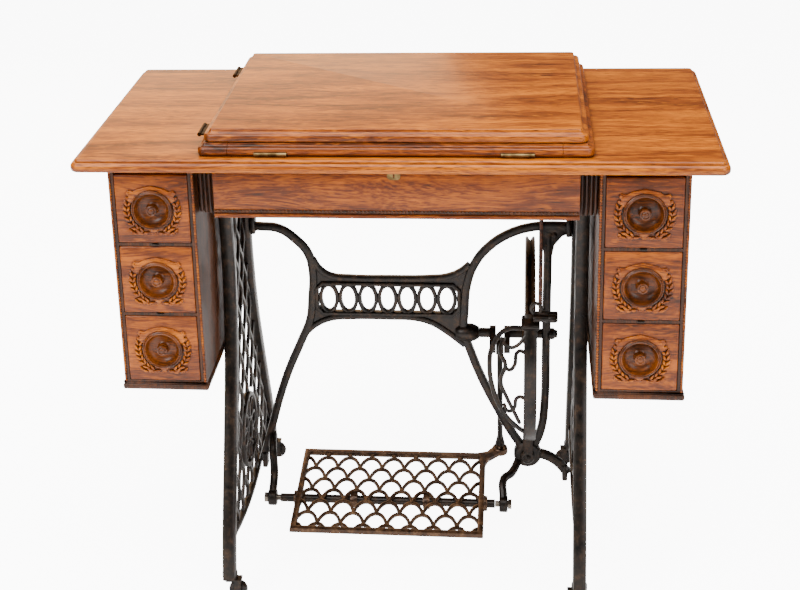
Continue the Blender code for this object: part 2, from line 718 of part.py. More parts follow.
def make_band_wheel(iron):
    """Wheel in the YZ plane, with five spokes and a bore for the crank's shaft."""
    low, high = WHEEL_X - WHEEL_WIDTH / 2, WHEEL_X + WHEEL_WIDTH / 2
    centre = (BRACE_Y, AXLE_Z)
    rim, hub = WHEEL_RADIUS - RIM, 0.024
    spokes = 5
    holes = [circle(centre, SHAFT + RUN, 20)]
    for i in range(spokes):
        start = math.tau * i / spokes
        outer = circle(centre, rim, 8, start + 0.05, start + math.tau / spokes - 0.05)
        inner = circle(centre, hub, 3, start + math.tau / spokes - 0.30, start + 0.30)
        holes.append(outer + inner)
    piece("band_wheel", iron, plate(circle(centre, WHEEL_RADIUS, 40), low, high, 0, holes), WHEEL_AXIS)


def crank_pin():
    return (
        BRACE_Y - CRANK_THROW * math.cos(CRANK_REST),
        AXLE_Z - CRANK_THROW * math.sin(CRANK_REST),
    )


def make_crank(steel):
    """The crank's two halves, each a web and a journal. The pitman runs in the slot between them."""
    slot = PITMAN_THICK / 2 + RUN
    pin = crank_pin()
    ends = {
        "left": (BOSS_X + BOSS_REACH + GAP, PITMAN_X - slot - WEB, PITMAN_X - slot),
        "right": (BAR_X - 0.0075 - GAP, PITMAN_X + slot, PITMAN_X + slot + WEB),
    }
    for name, (far, low, high) in ends.items():
        near = (low + high) / 2
        web = plate(link((BRACE_Y, AXLE_Z), pin, 0.012, 0.011), low, high, 0)
        shaft = cylinder((near, BRACE_Y, AXLE_Z), (far, BRACE_Y, AXLE_Z), SHAFT)
        piece(f"crank_{name}", steel, web, WHEEL_AXIS, joined=[shaft])


def ball():
    """Centre of the ball that the pitman stands on, on the treadle's back right corner."""
    height = TREADLE_LIFT + TREADLE_THICK + 0.006
    y = TREADLE_ARM * math.cos(TREADLE_TILT) - height * math.sin(TREADLE_TILT)
    z = TREADLE_ARM * math.sin(TREADLE_TILT) + height * math.cos(TREADLE_TILT)
    return (PITMAN_X, PIVOT_Y + y, PIVOT_Z + z)


def make_pitman(steel):
    pin = crank_pin()
    low, high = PITMAN_X - PITMAN_THICK / 2, PITMAN_X + PITMAN_THICK / 2
    start = ball()
    head = cylinder((low, *pin), (high, *pin), 0.013)
    x, y, z = start
    cap = cylinder((x, y, z + 0.002), (x, y, z + 0.018), 0.0085, 16, 0.005)
    bar = cylinder((x, y, z + 0.010), (x, *pin), 0.0045, 12)
    piece("pitman_rod", steel, bar, start, joined=[head, cap])


def make_treadle(iron):
    """Lattice plate and the bar under it, both rocking on the two cone screws."""
    lift = TREADLE_LIFT
    border = 0.012
    left, right = TREADLE_LEFT, TREADLE_RIGHT
    front, back = -TREADLE_FRONT, TREADLE_BACK
    tab = circle((PITMAN_X, TREADLE_ARM), 0.012, 8, -0.3 * math.pi, math.pi)
    outline = [
        (left, front), (right, front), (right, TREADLE_ARM - 0.024), (PITMAN_X, TREADLE_ARM - 0.014), *tab,
        (right - 0.004, back), (left, back),
    ]
    columns, rows = 8, 5
    pitch_x = (right - left - 2 * border) / columns
    pitch_y = (back - front - 2 * border) / rows
    holes = []
    for row in range(rows):
        shift = 0.5 * (row % 2)
        for column in range(columns - row % 2):
            centre = (left + border + (column + 0.5 + shift) * pitch_x, front + border + (row + 0.5) * pitch_y)
            holes.append(lattice_cell(*centre, pitch_x * 1.05, pitch_y * 0.96))
    slab = plate(outline, lift, lift + TREADLE_THICK, 2, holes)
    top = lift + TREADLE_THICK + 0.004
    knob = cylinder((PITMAN_X, TREADLE_ARM, lift + 0.004), (PITMAN_X, TREADLE_ARM, top), 0.005, 12)
    tilt = Matrix.Translation(TREADLE_AXIS) @ Matrix.Rotation(TREADLE_TILT, 4, "X")
    for shape in (slab, knob):
        bmesh.ops.transform(shape, matrix=tilt, verts=shape.verts[:])
    piece("treadle", iron, slab, TREADLE_AXIS, joined=[knob])
    ends = (PIVOT_LEFT + PIVOT_LUG / 2 + 0.007, PIVOT_RIGHT - PIVOT_LUG / 2 - 0.007)
    bar = cylinder((ends[0], PIVOT_Y, PIVOT_Z), (ends[1], PIVOT_Y, PIVOT_Z), CROSS_BAR)
    piece("treadle_cross_bar", iron, bar, TREADLE_AXIS)


def make_cone_screws(steel):
    for side, name, x in ((-1, "left", PIVOT_LEFT), (1, "right", PIVOT_RIGHT)):
        inner = x - side * (PIVOT_LUG / 2 + 0.007 - GAP)
        outer = x + side * (PIVOT_LUG / 2 + GAP)
        shank = cylinder((inner, PIVOT_Y, PIVOT_Z), (outer + side * 0.001, PIVOT_Y, PIVOT_Z), CONE)
        head = cylinder((outer, PIVOT_Y, PIVOT_Z), (outer + side * 0.006, PIVOT_Y, PIVOT_Z), 0.009, 6)
        piece(f"cone_screw_{name}", steel, shank, joined=[head])


def guard_point(x, degrees, radius=GUARD_RADIUS + GUARD_THICK / 2):
    """Place on the guard, which is bent round the wheel. 0 degrees is level with the axle, at the front."""
    angle = math.radians(degrees)
    return (x, BRACE_Y - radius * math.cos(angle), AXLE_Z + radius * math.sin(angle))


def make_guard(iron):
    """Band bent round the front of the wheel, with a scrolled loop on its left and a bracket for the belt shifter."""
    low, high = WHEEL_X - 0.010, WHEEL_X + 0.010
    top, bottom = 37, -85
    steps = 14
    outer, inner = [], []
    for i in range(steps):
        degrees = bottom + (top - bottom) * i / (steps - 1)
        inner.append(guard_point(0, degrees, GUARD_RADIUS)[1:])
        outer.append(guard_point(0, degrees, GUARD_RADIUS + GUARD_THICK)[1:])
    band = plate(outer + inner[::-1], low, high, 0)
    left = low - 0.052
    loop = [
        guard_point(low + 0.004, 30), guard_point(left + 0.018, 28), guard_point(left, 18),
        guard_point(left + 0.004, 4), guard_point(left + 0.018, -12), guard_point(low - 0.012, -27),
        guard_point(low + 0.004, -34),
    ]
    scroll = [
        guard_point(low + 0.004, 14), guard_point(low - 0.014, 12), guard_point(low - 0.026, 3),
        guard_point(left + 0.008, 2),
    ]
    bracket_low = guard_point(0, 31)[2]
    front = guard_point(0, 33)[1]
    bracket = box(
        (high - 0.004, front - 0.004, bracket_low), (SHIFTER_X + 0.010, front + 0.006, bracket_low + 0.016)
    )
    face = BRACE_Y - BRACE_THICK / 2 - 0.003 - GAP
    foot = cylinder((LUG_X, face - 0.007, LUG_Z), (LUG_X, face, LUG_Z), 0.0105)
    end = guard_point(WHEEL_X, bottom)
    shank = box((LUG_X - 0.007, face - 0.0065, LUG_Z), (LUG_X + 0.007, face - 0.0005, end[2] + 0.001))
    piece("dress_guard", iron, band, joined=[rod(loop, 0.0035), rod(scroll, 0.003, 8, 2), bracket, foot, shank])


def shifter_axis():
    place = guard_point(SHIFTER_X, 33)
    return (place[0], place[1] - 0.010, place[2] + 0.006)


def make_shifter(steel):
    """Lever on the guard's bracket, with an eye that the belt is pushed by."""
    axis = shifter_axis()
    back = axis[1] + 0.006 - GAP
    eye = (WHEEL_X + 0.008, axis[2] + 0.014)
    ring = plate(circle(eye, 0.010, 16), back - 0.0055, back - 0.0005, 1, [circle(eye, 0.0055, 12)])
    lever = ribbon([(axis[0], axis[2]), (eye[0] + 0.0074, eye[1] - 0.0045)], 0.009, back - 0.006, back, 1)
    boss = cylinder((axis[0], back - 0.010, axis[2]), (axis[0], back - 0.0003, axis[2]), 0.0081, 18)
    piece("belt_shifter", steel, lever, axis, joined=[ring, boss])


def make_belt(leather):
    """Round leather belt, thrown off the wheel and hanging on its peg in a long loop."""
    low, high = AXLE_Z + 0.036, BELT_TOP
    front, back = BRACE_Y - 0.033, BRACE_Y + 0.033
    radius = (back - front) / 2
    curve = bpy.data.curves.new("belt", "CURVE")
    curve.dimensions = "3D"
    curve.bevel_depth = BELT_RADIUS
    curve.bevel_resolution = 1
    points = circle((BRACE_Y, high - radius), radius, 9, 0, math.pi)
    points += circle((BRACE_Y, low + radius), radius, 9, math.pi, math.tau)
    line = curve.splines.new("POLY")
    line.points.add(len(points) - 1)
    for point, (y, z) in zip(line.points, points):
        point.co = (BELT_X, y, z, 1)
    line.use_cyclic_u = True
    obj = bpy.data.objects.new("belt", curve)
    obj.data.materials.append(leather)
    bpy.context.scene.collection.objects.link(obj)


def make_caster(side, end, name, iron):
    """Fork that swivels in the foot, and the small wheel that rolls in it. Both trail towards the middle."""
    x, y = side * FRAME_X, end * (FRAME_EDGE[0][1] - 0.015)
    wheel_x = x - side * CASTER_TRAIL
    half = CASTER_WIDTH / 2
    cheek = 0.0022
    floor = CASTER_RADIUS
    roof = 2 * CASTER_RADIUS + 0.0012
    crown = box(
        (min(x, wheel_x) - 0.006, y - half - cheek, roof), (max(x, wheel_x) + 0.006, y + half + cheek, FOOT_Z - GAP)
    )
    cheeks = [
        box((wheel_x - 0.005, y + low, floor - 0.005), (wheel_x + 0.005, y + high, roof + 0.001))
        for low, high in ((-half - cheek + 0.0001, -half - RUN), (half + RUN, half + cheek - 0.0001))
    ]
    stem = cylinder((x, y, roof + 0.001), (x, y, FOOT_Z + 0.010), 0.0031, 12)
    pin = cylinder((wheel_x, y - half - 0.0010, floor), (wheel_x, y + half + 0.0010, floor), 0.002, 10)
    swivel = (x, y, FOOT_Z)
    piece(f"caster_fork_{name}", iron, crown, swivel, joined=[*cheeks, stem, pin])
    rolling = (wheel_x, y, floor)
    tyre = plate(
        circle((wheel_x, floor), CASTER_RADIUS, 20), y - half, y + half, 1,
        [circle((wheel_x, floor), 0.002 + GAP, 10)],
    )
    piece(f"caster_wheel_{name}", iron, tyre, rolling)


# Stowed head


def stowed(shapes):
    """Turns shapes made upright, about the head's hinge at the back of the bed, to hang in the well."""
    turn = Matrix.Translation(HEAD_HINGE) @ Matrix.Rotation(math.pi / 2, 4, "X")
    for shape in shapes:
        bmesh.ops.transform(shape, matrix=turn, verts=shape.verts[:])
    return shapes


def make_head(enamel, steel):
    """Bed and arm in one casting, with the hand wheel, needle bar and presser bar. Upright sizes, from the hinge."""
    rise = HEAD_HINGE_DROP
    middle = -ARM_CENTRE
    nose_low = ARM_TOP - NOSE_DROP
    under = rise - BED_THICK
    bed = box((-BED_HALF, -BED_DEPTH, under), (BED_HALF, -0.0005, rise))
    column = box((0.100, middle - 0.032, rise - 0.002), (HEAD_RIGHT, middle + 0.032, ARM_TOP - 0.002))
    arm = box((-0.150, middle - 0.024, ARM_TOP - 0.052), (0.150, middle + 0.024, ARM_TOP - 0.001))
    nose = box((-0.172, middle - 0.027, nose_low), (-0.118, middle + 0.027, ARM_TOP))
    works = box((-0.150, middle - 0.030, under - 0.030), (0.120, middle + 0.020, under + 0.001))
    body = stowed([bed, column, arm, nose, works])
    bores = stowed([
        cylinder((NEEDLE_X, middle, nose_low - 0.01), (NEEDLE_X, middle, nose_low + 0.050), BAR_RADIUS + RUN, 16),
        cylinder((PRESSER_X, middle, nose_low - 0.01), (PRESSER_X, middle, nose_low + 0.050), BAR_RADIUS + RUN, 16),
        cylinder((NEEDLE_X, middle, under - 0.01), (NEEDLE_X, middle, rise + 0.01), NEEDLE_RADIUS + 2 * RUN, 12),
    ])
    piece("machine_head", enamel, body[0], HEAD_HINGE, joined=body[1:], cut=bores)
    needle = stowed([
        cylinder((NEEDLE_X, middle, rise + 0.022), (NEEDLE_X, middle, nose_low + 0.030), BAR_RADIUS, 12),
        cylinder((NEEDLE_X, middle, rise + 0.010), (NEEDLE_X, middle, rise + 0.024), NEEDLE_RADIUS, 8),
    ])
    piece("needle_bar", steel, needle[0], HEAD_HINGE, joined=needle[1:])
    presser = stowed([
        cylinder((PRESSER_X, middle, rise + 0.006), (PRESSER_X, middle, nose_low + 0.030), BAR_RADIUS, 12),
        box((PRESSER_X - 0.006, middle - 0.018, rise + 0.002), (PRESSER_X + 0.006, middle + 0.006, rise + 0.010)),
    ])
    piece("presser_bar", steel, presser[0], HEAD_HINGE, joined=presser[1:])
    low, high = HEAD_RIGHT + GAP, 0.204
    axis = Vector(HEAD_HINGE) + Vector(((low + high) / 2, -HAND_WHEEL_HEIGHT, middle))
    wheel = stowed([
        cylinder(
            (high - 0.016, middle, HAND_WHEEL_HEIGHT), (high, middle, HAND_WHEEL_HEIGHT), HAND_WHEEL_RADIUS, 32
        ),
        cylinder((low, middle, HAND_WHEEL_HEIGHT), (high - 0.010, middle, HAND_WHEEL_HEIGHT), 0.022),
    ])
    piece("hand_wheel", steel, wheel[0], tuple(axis), joined=wheel[1:])


def main():
    clear_scene()
    oak = material("golden_oak", (0.47, 0.21, 0.055), 0.32)
    plain = material("plain_wood", (0.50, 0.33, 0.17), 0.60)
    iron = material("cast_iron", (0.035, 0.028, 0.024), 0.48, 0.75)
    steel = material("bright_steel", (0.30, 0.27, 0.24), 0.38, 1.0)
    brass = material("aged_brass", (0.30, 0.19, 0.08), 0.42, 1.0)
    leather = material("belt_leather", (0.20, 0.075, 0.035), 0.65)
    enamel = material("black_enamel", (0.012, 0.012, 0.013), 0.22)
    make_top(oak)
    make_tier(oak)
    make_flap(oak, brass)
    make_leaf(oak, brass)
    for side, name in ((-1, "left"), (1, "right")):
        make_case(side, name, oak)
        for row in reversed(range(DRAWER_ROWS)):
            make_drawer(side, name, row, oak, plain)
    make_till(oak, plain, brass)
    make_skirt(oak)
    for side, name in ((-1, "left"), (1, "right")):
        make_side_frame(side, name, iron)
        for end, depth in ((-1, "front"), (1, "back")):
            make_caster(side, end, f"{depth}_{name}", iron)
    make_brace(iron)
    make_band_wheel(iron)
    make_crank(steel)
    make_pitman(steel)
    make_treadle(iron)
    make_cone_screws(steel)
    make_guard(iron)
    make_shifter(steel)
    make_belt(leather)
    make_head(enamel, steel)


main()
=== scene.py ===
"""Looks of a treadle sewing machine: shellacked oak, worn black cast iron and an enamelled head."""

import math

import bmesh
import bpy
from mathutils import Matrix, Vector


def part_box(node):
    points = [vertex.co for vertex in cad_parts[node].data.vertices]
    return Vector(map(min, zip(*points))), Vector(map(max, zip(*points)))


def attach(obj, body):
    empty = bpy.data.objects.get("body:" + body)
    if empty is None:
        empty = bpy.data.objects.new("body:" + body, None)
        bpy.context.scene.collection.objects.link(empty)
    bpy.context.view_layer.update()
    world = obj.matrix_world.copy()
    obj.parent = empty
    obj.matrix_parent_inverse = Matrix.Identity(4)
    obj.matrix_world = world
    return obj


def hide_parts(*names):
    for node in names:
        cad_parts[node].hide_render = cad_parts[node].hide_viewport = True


MM = 0.001
SIDES = ((-1, "left"), (1, "right"))
UPRIGHT = Matrix.Rotation(math.pi / 2, 4, "X")
EDGEWISE = Matrix(((0, 0, 1, 0), (1, 0, 0, 0), (0, 1, 0, 0), (0, 0, 0, 1)))
ACROSS = Matrix.Rotation(math.pi / 2, 4, "Y")

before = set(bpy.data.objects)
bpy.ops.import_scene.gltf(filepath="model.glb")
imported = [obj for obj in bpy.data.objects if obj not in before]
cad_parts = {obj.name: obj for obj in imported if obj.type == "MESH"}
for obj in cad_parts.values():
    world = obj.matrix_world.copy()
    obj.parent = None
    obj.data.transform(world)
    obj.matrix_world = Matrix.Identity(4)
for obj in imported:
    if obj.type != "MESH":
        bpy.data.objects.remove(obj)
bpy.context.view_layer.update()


# Materials


def linear(colour):
    """An sRGB hex colour as linear red, green, blue and alpha."""
    channels = [int(colour[i : i + 2], 16) / 255 for i in (1, 3, 5)]
    return (*[c / 12.92 if c <= 0.04045 else ((c + 0.055) / 1.055) ** 2.4 for c in channels], 1.0)


def add(tree, kind, inputs, **settings):
    """A shader node with its settings and its inputs, each a value or another node's output."""
    made = tree.nodes.new("ShaderNode" + kind)
    stops = settings.pop("stops", ())
    for name, value in settings.items():
        setattr(made, name, value)
    for i, (place, colour) in enumerate(stops):
        element = made.color_ramp.elements[i] if i < 2 else made.color_ramp.elements.new(place)
        element.position = place
        element.color = linear(colour)
    for key, value in inputs.items():
        if isinstance(value, bpy.types.NodeSocket):
            tree.links.new(value, made.inputs[key])
        else:
            made.inputs[key].default_value = value
    return made


def new_material(name, **values):
    """A material with its Principled shader's own values set."""
    made = bpy.data.materials.new(name)
    made.use_nodes = True
    tree = made.node_tree
    shader = tree.nodes["Principled BSDF"]
    for key, value in values.items():
        shader.inputs[key.replace("_", " ")].default_value = value
    return made, tree, shader


def crevice_shade(tree, colour, shade_colour, reach, strength):
    """Darkens a colour where the surface is hemmed in: painted shade in hollows and crevices, found by
    ambient occlusion.
    """
    hollow = add(tree, "AmbientOcclusion", {"Distance": reach}, samples=6)
    edge = add(
        tree, "MapRange",
        {
            "Value": hollow.outputs["AO"], "From Min": 0.35, "From Max": 0.95, "To Min": strength,
            "To Max": 0.0
        }
    )
    return add(tree, "MixRGB", {"Fac": edge.outputs[0], "Color1": colour, "Color2": linear(shade_colour)}).outputs[0]


def oak(name, grain, pale, middle, dark, roughness):
    """Quarter-sawn oak under old shellac: warm wandering figure, dark grain, pale ray flecks, soft gloss."""
    made, tree, shader = new_material(
        name, Roughness=roughness, Specular_IOR_Level=0.3, Coat_Weight=0.08, Coat_Roughness=0.12
    )
    turn = {"X": (0, 0, 0), "Y": (0, 0, -math.pi / 2), "Z": (0, math.pi / 2, 0)}[grain]
    place = add(tree, "TexCoord", {})
    along = add(tree, "Mapping", {"Vector": place.outputs["Object"], "Rotation": turn})
    # The figure wanders over about 350 mm along the grain and 45 mm across it
    wide = add(tree, "Mapping", {"Vector": along.outputs[0], "Scale": (3, 22, 22)})
    figure = add(tree, "TexNoise", {"Vector": wide.outputs[0], "Scale": 1, "Detail": 3, "Distortion": 1.2})
    # Growth lines 2.5 mm apart, bent by a slow sway
    slow = add(tree, "Mapping", {"Vector": along.outputs[0], "Scale": (2.2, 9, 9)})
    sway = add(tree, "TexNoise", {"Vector": slow.outputs[0], "Scale": 1, "Detail": 2})
    shift = add(tree, "VectorMath", {0: sway.outputs["Color"], 1: (0.0, 0.10, 0.10)}, operation="MULTIPLY")
    bend = add(tree, "VectorMath", {0: along.outputs[0], 1: shift.outputs[0]}, operation="ADD")
    lines = add(tree, "Mapping", {"Vector": bend.outputs[0], "Scale": (14, 420, 420)})
    growth = add(tree, "TexNoise", {"Vector": lines.outputs[0], "Scale": 1, "Detail": 4, "Roughness": 0.6})
    # Pores are 0.3 mm wide on the real board, and drawn 1 mm wide so that they show
    dashes = add(tree, "Mapping", {"Vector": along.outputs[0], "Scale": (55, 900, 900)})
    pores = add(tree, "TexNoise", {"Vector": dashes.outputs[0], "Scale": 1, "Detail": 2})
    pore = add(tree, "MapRange", {"Value": pores.outputs[0], "From Min": 0.56, "From Max": 0.70})
    # Ray flecks, 25 mm long and 4 mm wide, lean a little across the grain
    leaning = add(
        tree, "Mapping",
        {"Vector": along.outputs[0], "Rotation": (0.12, 0.15, 0.28), "Scale": (38, 190, 190)}
    )
    rays = add(tree, "TexNoise", {"Vector": leaning.outputs[0], "Scale": 1, "Detail": 2, "Distortion": 0.6})
    ray = add(
        tree, "MapRange", {"Value": rays.outputs[0], "From Min": 0.56, "From Max": 0.68, "To Max": 0.55}
    )
    blend = add(tree, "Math", {0: figure.outputs[0], 1: 0.55, 2: 0.0}, operation="MULTIPLY_ADD")
    both = add(tree, "Math", {0: growth.outputs[0], 1: 0.55, 2: blend.outputs[0]}, operation="MULTIPLY_ADD")
    ramp = add(tree, "ValToRGB", {"Fac": both.outputs[0]}, stops=((0.40, dark), (0.53, middle), (0.68, pale)))
    flecked = add(tree, "MixRGB", {"Fac": ray.outputs[0], "Color1": ramp.outputs[0], "Color2": linear(pale)})
    pored = add(
        tree, "MixRGB", {"Fac": pore.outputs[0], "Color1": flecked.outputs[0], "Color2": linear(dark)}
    )
    # Painted shade: the oak darkens towards near black in its hollows, carved recesses and corners
    crevice_shaded = crevice_shade(tree, pored.outputs[0], "#2A1306", 7 * MM, 0.75)
    tree.links.new(crevice_shaded, shader.inputs["Base Color"])
    relief = add(
        tree, "Bump", {"Height": pore.outputs[0], "Strength": 0.12, "Distance": 0.25 * MM}, invert=True
    )
    tree.links.new(relief.outputs[0], shader.inputs["Normal"])
    return made


def cast_iron(name, deep, middle, worn):
    """Sand-cast iron in old black japan: grainy, worn brown in patches, with a few rust spots."""
    made, tree, shader = new_material(
        name, Metallic=0.55, Roughness=0.36, Coat_Weight=0.10, Coat_Roughness=0.25
    )
    place = add(tree, "TexCoord", {})
    patches = add(
        tree, "TexNoise",
        {"Vector": place.outputs["Object"], "Scale": 70, "Detail": 5, "Roughness": 0.7}
    )
    base = add(
        tree, "ValToRGB", {"Fac": patches.outputs[0]},
        stops=((0.34, deep), (0.52, middle), (0.74, worn)),
    )
    spots = add(tree, "TexVoronoi", {"Vector": place.outputs["Object"], "Scale": 42, "Randomness": 1.0})
    rust = add(
        tree, "MapRange",
        {
            "Value": spots.outputs["Distance"], "From Min": 0.03, "From Max": 0.08, "To Min": 0.5,
            "To Max": 0.0
        }
    )
    rusted = add(
        tree, "MixRGB", {"Fac": rust.outputs[0], "Color1": base.outputs[0], "Color2": linear("#6A4A34")}
    )
    # Painted shade: the iron darkens in its hollows and where its bars meet
    crevice_shaded = crevice_shade(tree, rusted.outputs[0], "#0D0A08", 6 * MM, 0.55)
    tree.links.new(crevice_shaded, shader.inputs["Base Color"])
    gloss = add(
        tree, "MapRange",
        {"Value": patches.outputs[0], "From Min": 0.3, "From Max": 0.7, "To Min": 0.26, "To Max": 0.46}
    )
    tree.links.new(gloss.outputs[0], shader.inputs["Roughness"])
    sand = add(tree, "TexNoise", {"Vector": place.outputs["Object"], "Scale": 900, "Detail": 2})
    relief = add(tree, "Bump", {"Height": sand.outputs[0], "Strength": 0.25, "Distance": 0.3 * MM})
    tree.links.new(relief.outputs[0], shader.inputs["Normal"])
    return made


def bare_metal(name, clean, stained, roughness):
    """Turned or stamped metal, dulled and stained by handling, with a faint brushed grain."""
    made, tree, shader = new_material(name, Metallic=1.0, Roughness=roughness)
    place = add(tree, "TexCoord", {})
    stains = add(tree, "TexNoise", {"Vector": place.outputs["Object"], "Scale": 60, "Detail": 4})
    tint = add(tree, "ValToRGB", {"Fac": stains.outputs[0]}, stops=((0.40, stained), (0.60, clean)))
    tree.links.new(tint.outputs[0], shader.inputs["Base Color"])
    fine = add(tree, "Mapping", {"Vector": place.outputs["Object"], "Scale": (300, 2500, 2500)})
    brushed = add(tree, "TexNoise", {"Vector": fine.outputs[0], "Scale": 1, "Detail": 1})
    relief = add(tree, "Bump", {"Height": brushed.outputs[0], "Strength": 0.08, "Distance": 0.2 * MM})
    tree.links.new(relief.outputs[0], shader.inputs["Normal"])
    return made


def belt_leather():
    """Round-cut leather belting, dry and rubbed: dull brown with darker patches."""
    made, tree, shader = new_material("leather_belting", Roughness=0.62)
    place = add(tree, "TexCoord", {})
    rubbed = add(tree, "TexNoise", {"Vector": place.outputs["Object"], "Scale": 120, "Detail": 4})
    tint = add(tree, "ValToRGB", {"Fac": rubbed.outputs[0]}, stops=((0.38, "#3E2014"), (0.62, "#75432C")))
    tree.links.new(tint.outputs[0], shader.inputs["Base Color"])
    relief = add(tree, "Bump", {"Height": rubbed.outputs[0], "Strength": 0.2, "Distance": 0.3 * MM})
    tree.links.new(relief.outputs[0], shader.inputs["Normal"])
    return made


def black_enamel():
    """Baked black enamel: deep and glossy, with a little orange peel and dulling from hands."""
    made, tree, shader = new_material("baked_enamel", Roughness=0.2, Coat_Weight=0.5)
    place = add(tree, "TexCoord", {})
    dull = add(tree, "TexNoise", {"Vector": place.outputs["Object"], "Scale": 14, "Detail": 3})
    tint = add(tree, "ValToRGB", {"Fac": dull.outputs[0]}, stops=((0.40, "#0B0B0C"), (0.65, "#1D1A18")))
    tree.links.new(tint.outputs[0], shader.inputs["Base Color"])
    gloss = add(tree, "MapRange", {"Value": dull.outputs[0], "To Min": 0.12, "To Max": 0.34})
    tree.links.new(gloss.outputs[0], shader.inputs["Roughness"])
    return made


# Paler copy of the oak for the top and leaf: painted light where the light falls on them
OAK_ACROSS_LIT = oak("shellacked_oak_across_painted_light", "X", "#BE6600", "#863E00", "#421A00", 0.32)
# Darker copy of the oak for the tier, flap, apron and drawer fronts: painted shade on faces that get less
# light than the top
OAK_FRONT_SHADED = oak("shellacked_oak_front_painted_shade", "X", "#AC5600", "#6C2E00", "#2A1000", 0.36)
# Much darker copy of the oak for the case walls, skirt, reeds and ropes: painted shade, as these stand in
# shadow
OAK_TALL_SHADED = oak("shellacked_oak_tall_painted_shade", "Z", "#5A2C04", "#361801", "#180900", 0.44)
# Darker copy of the oak for the turned pulls: painted shade in their sunk dishes
OAK_PULL_SHADED = oak("pull_oak_painted_shade", "X", "#7C3E08", "#4C2204", "#200C01", 0.34)
# Paler copy of the oak for the carving and the case beads: painted highlight on their raised faces
OAK_CARVED_LIT = oak("shellacked_oak_carved_painted_light", "X", "#BC6404", "#803A00", "#321200", 0.36)
PLAIN_WOOD = oak("bare_maple", "Y", "#C9A878", "#A98455", "#7C5B36", 0.70)
IRON = cast_iron("japanned_cast_iron", "#0E0906", "#20160E", "#46311F")
# Lighter copy of the iron for the wheel and treadle: rubbed wear, and painted light that lifts the wheel out
# of its shadow
RUBBED_AND_LIT_IRON = cast_iron("rubbed_cast_iron_painted_light", "#2A1C12", "#523824", "#866444")
STEEL = bare_metal("dulled_steel", "#8E857A", "#4E443B", 0.38)
BRASS = bare_metal("tarnished_brass", "#8E744A", "#4A3820", 0.42)
# Dark steel for the leaf hinges: painted shade, so that they sink into the shade at the leaf's edge
HINGE_STEEL_SHADED = bare_metal("hinge_steel_painted_shade", "#4A3218", "#241608", 0.5)
LEATHER = belt_leather()
ENAMEL = black_enamel()


# Shapes, each returned as a bmesh


def in_mm(points):
    """Points given in millimetres, in metres."""
    return [(x * MM, y * MM) for x, y in points]


def block(low, high, soft=0.0, segments=2):
    """Box with its edges rounded."""
    shape = bmesh.new()
    low, high = Vector(low), Vector(high)
    place = Matrix.Translation((low + high) / 2) @ Matrix.Diagonal((*(high - low), 1))
    bmesh.ops.create_cube(shape, size=1, matrix=place)
    if soft:
        bmesh.ops.bevel(
            shape, geom=shape.edges[:], offset=soft, segments=segments, profile=0.5, affect="EDGES",
            material=-1
        )
    return shape


def turned(profile, place=Matrix(), steps=32):
    """Profile of (radius, height) turned about Z."""
    shape = bmesh.new()
    ring = [shape.verts.new((radius, 0, height)) for radius, height in profile]
    edges = [shape.edges.new(pair) for pair in zip(ring, ring[1:])]
    bmesh.ops.spin(
        shape, geom=ring + edges, cent=(0, 0, 0), axis=(0, 0, 1), angle=math.tau, steps=steps, use_merge=True
    )
    bmesh.ops.remove_doubles(shape, verts=shape.verts[:], dist=1e-6)
    bmesh.ops.recalc_face_normals(shape, faces=shape.faces[:])
    return moved(shape, place)


def moved(shape, place):
    """The shape put in its place, with its faces still outward after a mirroring."""
    bmesh.ops.transform(shape, matrix=place, verts=shape.verts[:])
    if place.to_3x3().determinant() < 0:
        bmesh.ops.reverse_faces(shape, faces=shape.faces[:])
    return shape


def together(*shapes):
    """The shapes as one, and the single ones gone."""
    whole = bmesh.new()
    for shape in shapes:
        mesh = bpy.data.meshes.new("part")
        shape.to_mesh(mesh)
        shape.free()
        whole.from_mesh(mesh)
        bpy.data.meshes.remove(mesh)
    return whole


def copied(shape, place):
    """A copy of the shape, put in its place."""
    return moved(shape.copy(), place)


def plate(outline, thick, soft=0.0, place=Matrix()):
    """Outline in a plane, thickened and with its upper edge rounded."""
    shape = bmesh.new()
    face = shape.faces.new([shape.verts.new((x, y, 0)) for x, y in outline])
    if face.normal.z > 0:
        face.normal_flip()
    raised = bmesh.ops.extrude_face_region(shape, geom=[face], use_keep_orig=True)["geom"]
    top = [item for item in raised if isinstance(item, bmesh.types.BMFace)][0]
    bmesh.ops.translate(shape, verts=top.verts[:], vec=(0, 0, thick))
    bmesh.ops.recalc_face_normals(shape, faces=shape.faces[:])
    if soft:
        bmesh.ops.bevel(
            shape, geom=top.edges[:], offset=soft, segments=2, profile=0.5, affect="EDGES", material=-1
        )
    return moved(shape, place)


def quarter(run, rise, steps=4):
    """Steps of a convex quarter round, from a wall to a level: how far in and how far up."""
    angles = [math.pi / 2 * i / steps for i in range(steps + 1)]
    spans = zip(angles, angles[1:])
    return [(run * (math.cos(a) - math.cos(b)), rise * (math.sin(b) - math.sin(a))) for a, b in spans]


def cove(run, rise, steps=4):
    """Steps of a hollow quarter round."""
    angles = [math.pi / 2 * i / steps for i in range(steps + 1)]
    spans = zip(angles, angles[1:])
    return [(run * (math.sin(b) - math.sin(a)), rise * (math.cos(a) - math.cos(b))) for a, b in spans]


